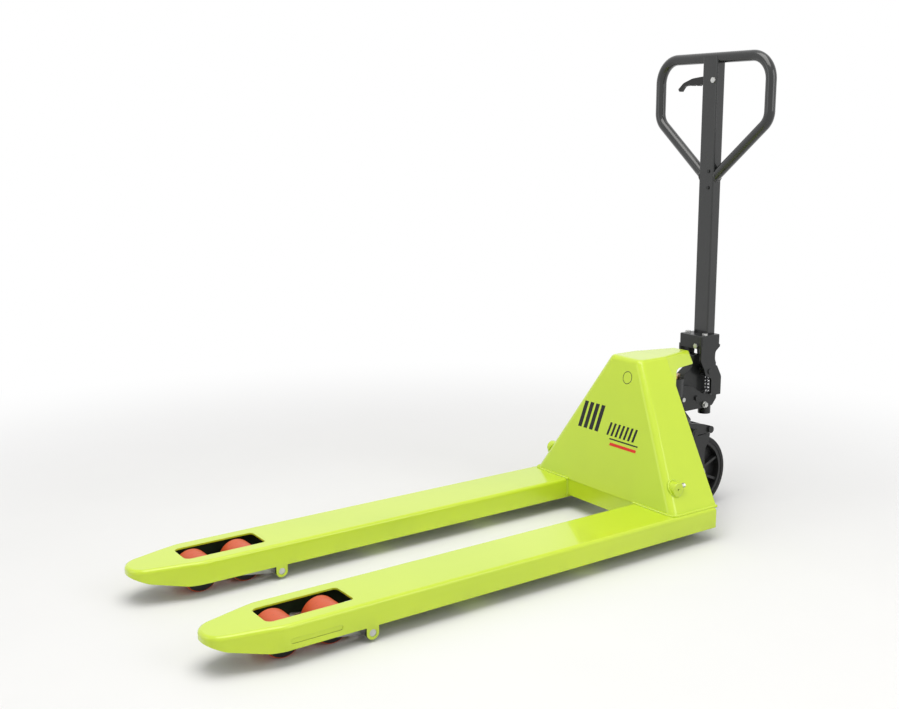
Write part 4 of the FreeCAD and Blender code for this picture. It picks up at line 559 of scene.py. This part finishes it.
# Steering wheels: black rubber tyres bonded to moulded nylon hubs, each on two ball bearings.
# The mould leaves a fine line round the middle of the tread and near each shoulder.
def tyre_rubber():
    rubber = Finish("tyre_rubber", Specular_IOR_Level=0.35)
    dust = rubber.noise(26.0, 6.0, 0.65).above(0.45, 0.8)
    scuff = rubber.noise(120.0, 4.0, 0.6, stretch=(1.0, 3.0, 3.0)).above(0.5, 0.75)
    colour = rubber.mix(dust * 0.5, (0.0085, 0.0085, 0.009, 1), (0.028, 0.027, 0.026, 1))
    colour = rubber.mix(scuff * 0.3, colour, (0.024, 0.024, 0.024, 1))
    return rubber.set(Base_Color=colour, Roughness=0.5 + dust * 0.2 + scuff * 0.1,
                      Normal=rubber.bump(rubber.noise(240.0, 3.0) + scuff * 0.5, 0.0003, 0.35))


def hub_nylon():
    nylon = Finish("hub_nylon", Specular_IOR_Level=0.4)
    cloud = nylon.noise(20.0, 4.0)
    colour = nylon.mix(cloud, (0.012, 0.0125, 0.013, 1), (0.02, 0.0205, 0.021, 1))
    return nylon.set(Base_Color=colour, Roughness=0.36 + cloud * 0.12,
                     Normal=nylon.bump(nylon.noise(380.0, 2.0), 0.0002, 0.3, under=nylon.soft_edges(0.0012)))


def mould_line_tree():
    """Thin raised rings round a tyre."""
    lines = Tree("mould_lines", Radius=0.1, Wire=0.0004)
    ring = lines.node("GeometryNodeCurvePrimitiveCircle", {}, {"Resolution": 128, "Radius": lines.input("Radius")})
    wire = lines.node("GeometryNodeCurvePrimitiveCircle", {}, {"Resolution": 6, "Radius": lines.input("Wire")})
    ring = lines.node("GeometryNodeCurveToMesh", {}, {"Curve": ring, "Profile Curve": wire})
    return lines.close(lines.node("GeometryNodeInstanceOnPoints", {},
                                  {"Points": lines.input("Geometry"), "Instance": ring,
                                   "Rotation": (0.0, math.radians(90), 0.0)}))


rubber = tyre_rubber()
nylon = hub_nylon()
mould_lines = mould_line_tree()
wheel_radius = (wheel_high.z - wheel_low.z) / 2
for side, hand in ((1, "left"), (-1, "right")):
    give(rubber, "steer_tyre_" + hand)
    give(nylon, "steer_hub_" + hand)
    give(steel, "wheel_bearings_" + hand)
    middle = Vector((side * wheel_middle.x, wheel_middle.y, wheel_middle.z))
    grow("tyre_lines_" + hand, mould_lines, rubber, "steer_wheel_" + hand, "tyre_rubber",
         runs=[[middle + Vector((aside, 0, 0))] for aside in (-0.017, 0.0, 0.017)],
         Radius=wheel_radius - 0.0001, Wire=0.0005)


# Pump piston: a ground plunger under a hardened cap, pushed up by a coil spring of oiled wire.
# The spring stands on the pump's rear boss, and its end turns are closed.
def spring_tree():
    """Wire wound round an upright axis, with closed end turns."""
    spring = Tree("coil_spring", Radius=0.0135, Wire=0.002, Turns=6.0, Height=0.05, Rise=0.004)
    free = spring.maths("SUBTRACT", spring.input("Height"), spring.maths("MULTIPLY", spring.input("Rise"), 2.0))
    parts = []
    for turns, height, base in ((1.0, spring.input("Rise"), 0.0),
                                (spring.input("Turns"), free, spring.input("Rise")),
                                (1.0, spring.input("Rise"), spring.maths("ADD", free, spring.input("Rise")))):
        coil = spring.node("GeometryNodeCurveSpiral", {}, {"Resolution": 40, "Rotations": turns, "Height": height,
                                                            "Start Radius": spring.input("Radius"),
                                                            "End Radius": spring.input("Radius")})
        parts.append(spring.node("GeometryNodeTransform", {}, {"Geometry": coil,
                                                               "Translation": spring.vector(0.0, 0.0, base)}))
    joined = spring.tree.nodes.new("GeometryNodeJoinGeometry")
    for part in parts:
        spring.tree.links.new(part, joined.inputs[0])
    wire = spring.node("GeometryNodeCurvePrimitiveCircle", {}, {"Resolution": 14, "Radius": spring.input("Wire")})
    swept = spring.node("GeometryNodeCurveToMesh", {}, {"Curve": joined.outputs[0], "Profile Curve": wire,
                                                        "Fill Caps": True})
    return spring.close(swept)


spring_wire = Finish("spring_wire", metallic=1.0, Roughness=0.3)
spring_wire.set(Base_Color=spring_wire.mix(spring_wire.noise(60.0), (0.10, 0.10, 0.105, 1), (0.16, 0.16, 0.165, 1)),
                Roughness=0.24 + spring_wire.noise(90.0) * 0.15)
give(steel, "pump_piston")
give(spring_wire.material, "piston_cap", "piston_spring")


# Drawbar yoke: a fork-shaped iron casting on a cross pin behind the ram, with the pole bolted
# into its socket. The cam roller between its cheeks presses the pump piston down.
gloss_black = black_enamel("gloss_black", gloss=0.8, grain=0.12)
give(cast_black, "handle_yoke", "yoke_pin")
give(zinc, "yoke_bolts")
give(steel, "cam_roller", "cam_roller_pin")


# Pole and loop: a flat-sided tube with a D-shaped grip of round tube, bent in one piece and welded
# on where it meets the pole. Both are powder coated gloss black.
give(gloss_black, "handle_pole", "handle_loop")
give(cast_black, "pole_rivets")
pole_low, pole_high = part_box("handle_pole")
loop_low, loop_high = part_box("handle_loop")
pole_middle = (pole_low + pole_high) / 2
joint_x = pole_high.x + 0.0004
joint_runs = []
for side in (-1, 1):
    rise = loop_low.z + 0.0135
    run = []
    for step in range(17):
        angle = math.tau * step / 16
        run.append((side * joint_x, pole_middle.y + 0.0140 * math.cos(angle), rise + 0.0142 * math.sin(angle)))
    joint_runs.append(run)
grow("loop_weld", weld_run, gloss_black, "handle", "black_gloss_paint", runs=joint_runs,
     Width=0.0048, Height=0.0026, Pitch=0.003)


# Hand lever and control rod: a moulded lever on a pin in the loop's top, and a wire rod down the
# pole's face to the valve. The lever is plain black plastic, slightly mottled by the mould.
def lever_plastic():
    plastic = Finish("lever_plastic", Specular_IOR_Level=0.42)
    cloud = plastic.noise(32.0, 4.0)
    colour = plastic.mix(cloud, (0.006, 0.006, 0.0065, 1), (0.011, 0.011, 0.0115, 1))
    return plastic.set(Base_Color=colour, Roughness=0.34 + cloud * 0.1,
                       Normal=plastic.bump(plastic.noise(420.0, 2.0), 0.0002, 0.3, under=plastic.soft_edges(0.0015)))


give(lever_plastic(), "hand_lever")
give(zinc, "lever_pin")
give(polished_steel("rod_wire", (0.42, 0.42, 0.43, 1)), "control_rod")


# Studio: a pale floor that fades out into a white surround, a wide soft box above, and two more
# at the sides. The camera stands to the front and right of the jack, at about chest height.
def floor_finish():
    """Pale grey near the jack. Seen from the camera, it fades into the surround's white."""
    floor = Finish("studio_floor", Roughness=0.62, Specular_IOR_Level=0.25)
    x, y, z = floor.axes()
    away = ((x - 0.1) * (x - 0.1) + (y + 0.25) * (y + 0.25)).maths("SQRT")
    seen = floor.node("LightPath", output="Is Camera Ray")
    for kind in ("Is Glossy Ray", "Is Transmission Ray"):
        seen = seen.maths("MAXIMUM", floor.node("LightPath", output=kind))
    fade = away.above(0.9, 2.6)
    colour = floor.mix(floor.noise(3.0), (0.80, 0.80, 0.795, 1), (0.83, 0.83, 0.825, 1))
    glow = floor.node("Emission", {}, {"Color": (1, 1, 1, 1), "Strength": 1.0})
    blend = floor.node("MixShader", {}, {0: fade * seen, 2: glow})
    floor.tree.links.new(floor.shader.outputs[0], blend.link.node.inputs[1])
    floor.tree.links.new(blend.link, floor.tree.nodes["Material Output"].inputs["Surface"])
    return floor.set(Base_Color=colour)


def white_surround():
    """Plain white where it is seen, and a dim sky that is lighter overhead for everything else."""
    world = bpy.data.worlds.new("surround")
    bpy.context.scene.world = world
    world.use_nodes = True
    tree = world.node_tree
    tree.nodes.clear()

    def made(kind, **sockets):
        node = tree.nodes.new(kind)
        for name, value in sockets.items():
            node.inputs[name.replace("_", " ")].default_value = value
        return node

    place = made("ShaderNodeTexCoord")
    split = made("ShaderNodeSeparateXYZ")
    height = made("ShaderNodeMapRange", From_Min=-0.2, From_Max=0.9, To_Min=0.30, To_Max=0.62)
    paths = made("ShaderNodeLightPath")
    seen = paths.outputs["Is Camera Ray"]
    for kind in ("Is Glossy Ray", "Is Transmission Ray"):
        either = made("ShaderNodeMath")
        either.operation = "MAXIMUM"
        tree.links.new(seen, either.inputs[0])
        tree.links.new(paths.outputs[kind], either.inputs[1])
        seen = either.outputs[0]
    level = made("ShaderNodeMix", B=1.0)
    sky = made("ShaderNodeBackground", Color=(1, 1, 1, 1))
    leave = made("ShaderNodeOutputWorld")
    tree.links.new(place.outputs["Generated"], split.inputs[0])
    tree.links.new(split.outputs["Z"], height.inputs["Value"])
    tree.links.new(seen, level.inputs["Factor"])
    tree.links.new(height.outputs["Result"], level.inputs["A"])
    tree.links.new(level.outputs["Result"], sky.inputs["Strength"])
    tree.links.new(sky.outputs[0], leave.inputs["Surface"])


def lamp(name, place, target, width, height, power, colour):
    light = bpy.data.lights.new(name, "AREA")
    light.shape = "RECTANGLE"
    light.size = width
    light.size_y = height
    light.energy = power
    light.color = colour
    made = bpy.data.objects.new(name, light)
    made.location = place
    made.rotation_euler = (Vector(target) - Vector(place)).to_track_quat("-Z", "Y").to_euler()
    bpy.context.scene.collection.objects.link(made)


floor_mesh = bpy.data.meshes.new("studio_floor")
floor_mesh.from_pydata([(-30, -30, 0), (30, -30, 0), (30, 30, 0), (-30, 30, 0)], [], [(0, 1, 2, 3)])
floor_mesh.materials.append(floor_finish())
floor_object = bpy.data.objects.new("studio_floor", floor_mesh)
bpy.context.scene.collection.objects.link(floor_object)

white_surround()
lamp("overhead_box", (0.5, -0.5, 3.4), (0.0, -0.1, 0.2), 2.6, 2.6, 78, (1.0, 0.985, 0.96))
lamp("side_box", (3.2, 1.3, 1.9), (0.0, 0.2, 0.4), 1.8, 2.0, 26, (1.0, 1.0, 1.0))
lamp("front_box", (-1.2, -3.6, 1.7), (0.0, 0.0, 0.4), 2.0, 1.6, 12, (0.95, 0.975, 1.0))

lens = bpy.data.cameras.new("camera")
lens.sensor_width = 36.0
lens.lens = 45.9
lens.shift_x = -0.0563
lens.shift_y = 0.0237
lens.clip_end = 50.0
camera = bpy.data.objects.new("camera", lens)
camera.location = (2.102, -1.4914, 0.984)
camera.rotation_euler = (math.radians(90 - 12.1), 0.0, math.radians(53.5))
bpy.context.scene.collection.objects.link(camera)
bpy.context.scene.camera = camera

scene = bpy.context.scene
scene.view_settings.view_transform = "Standard"
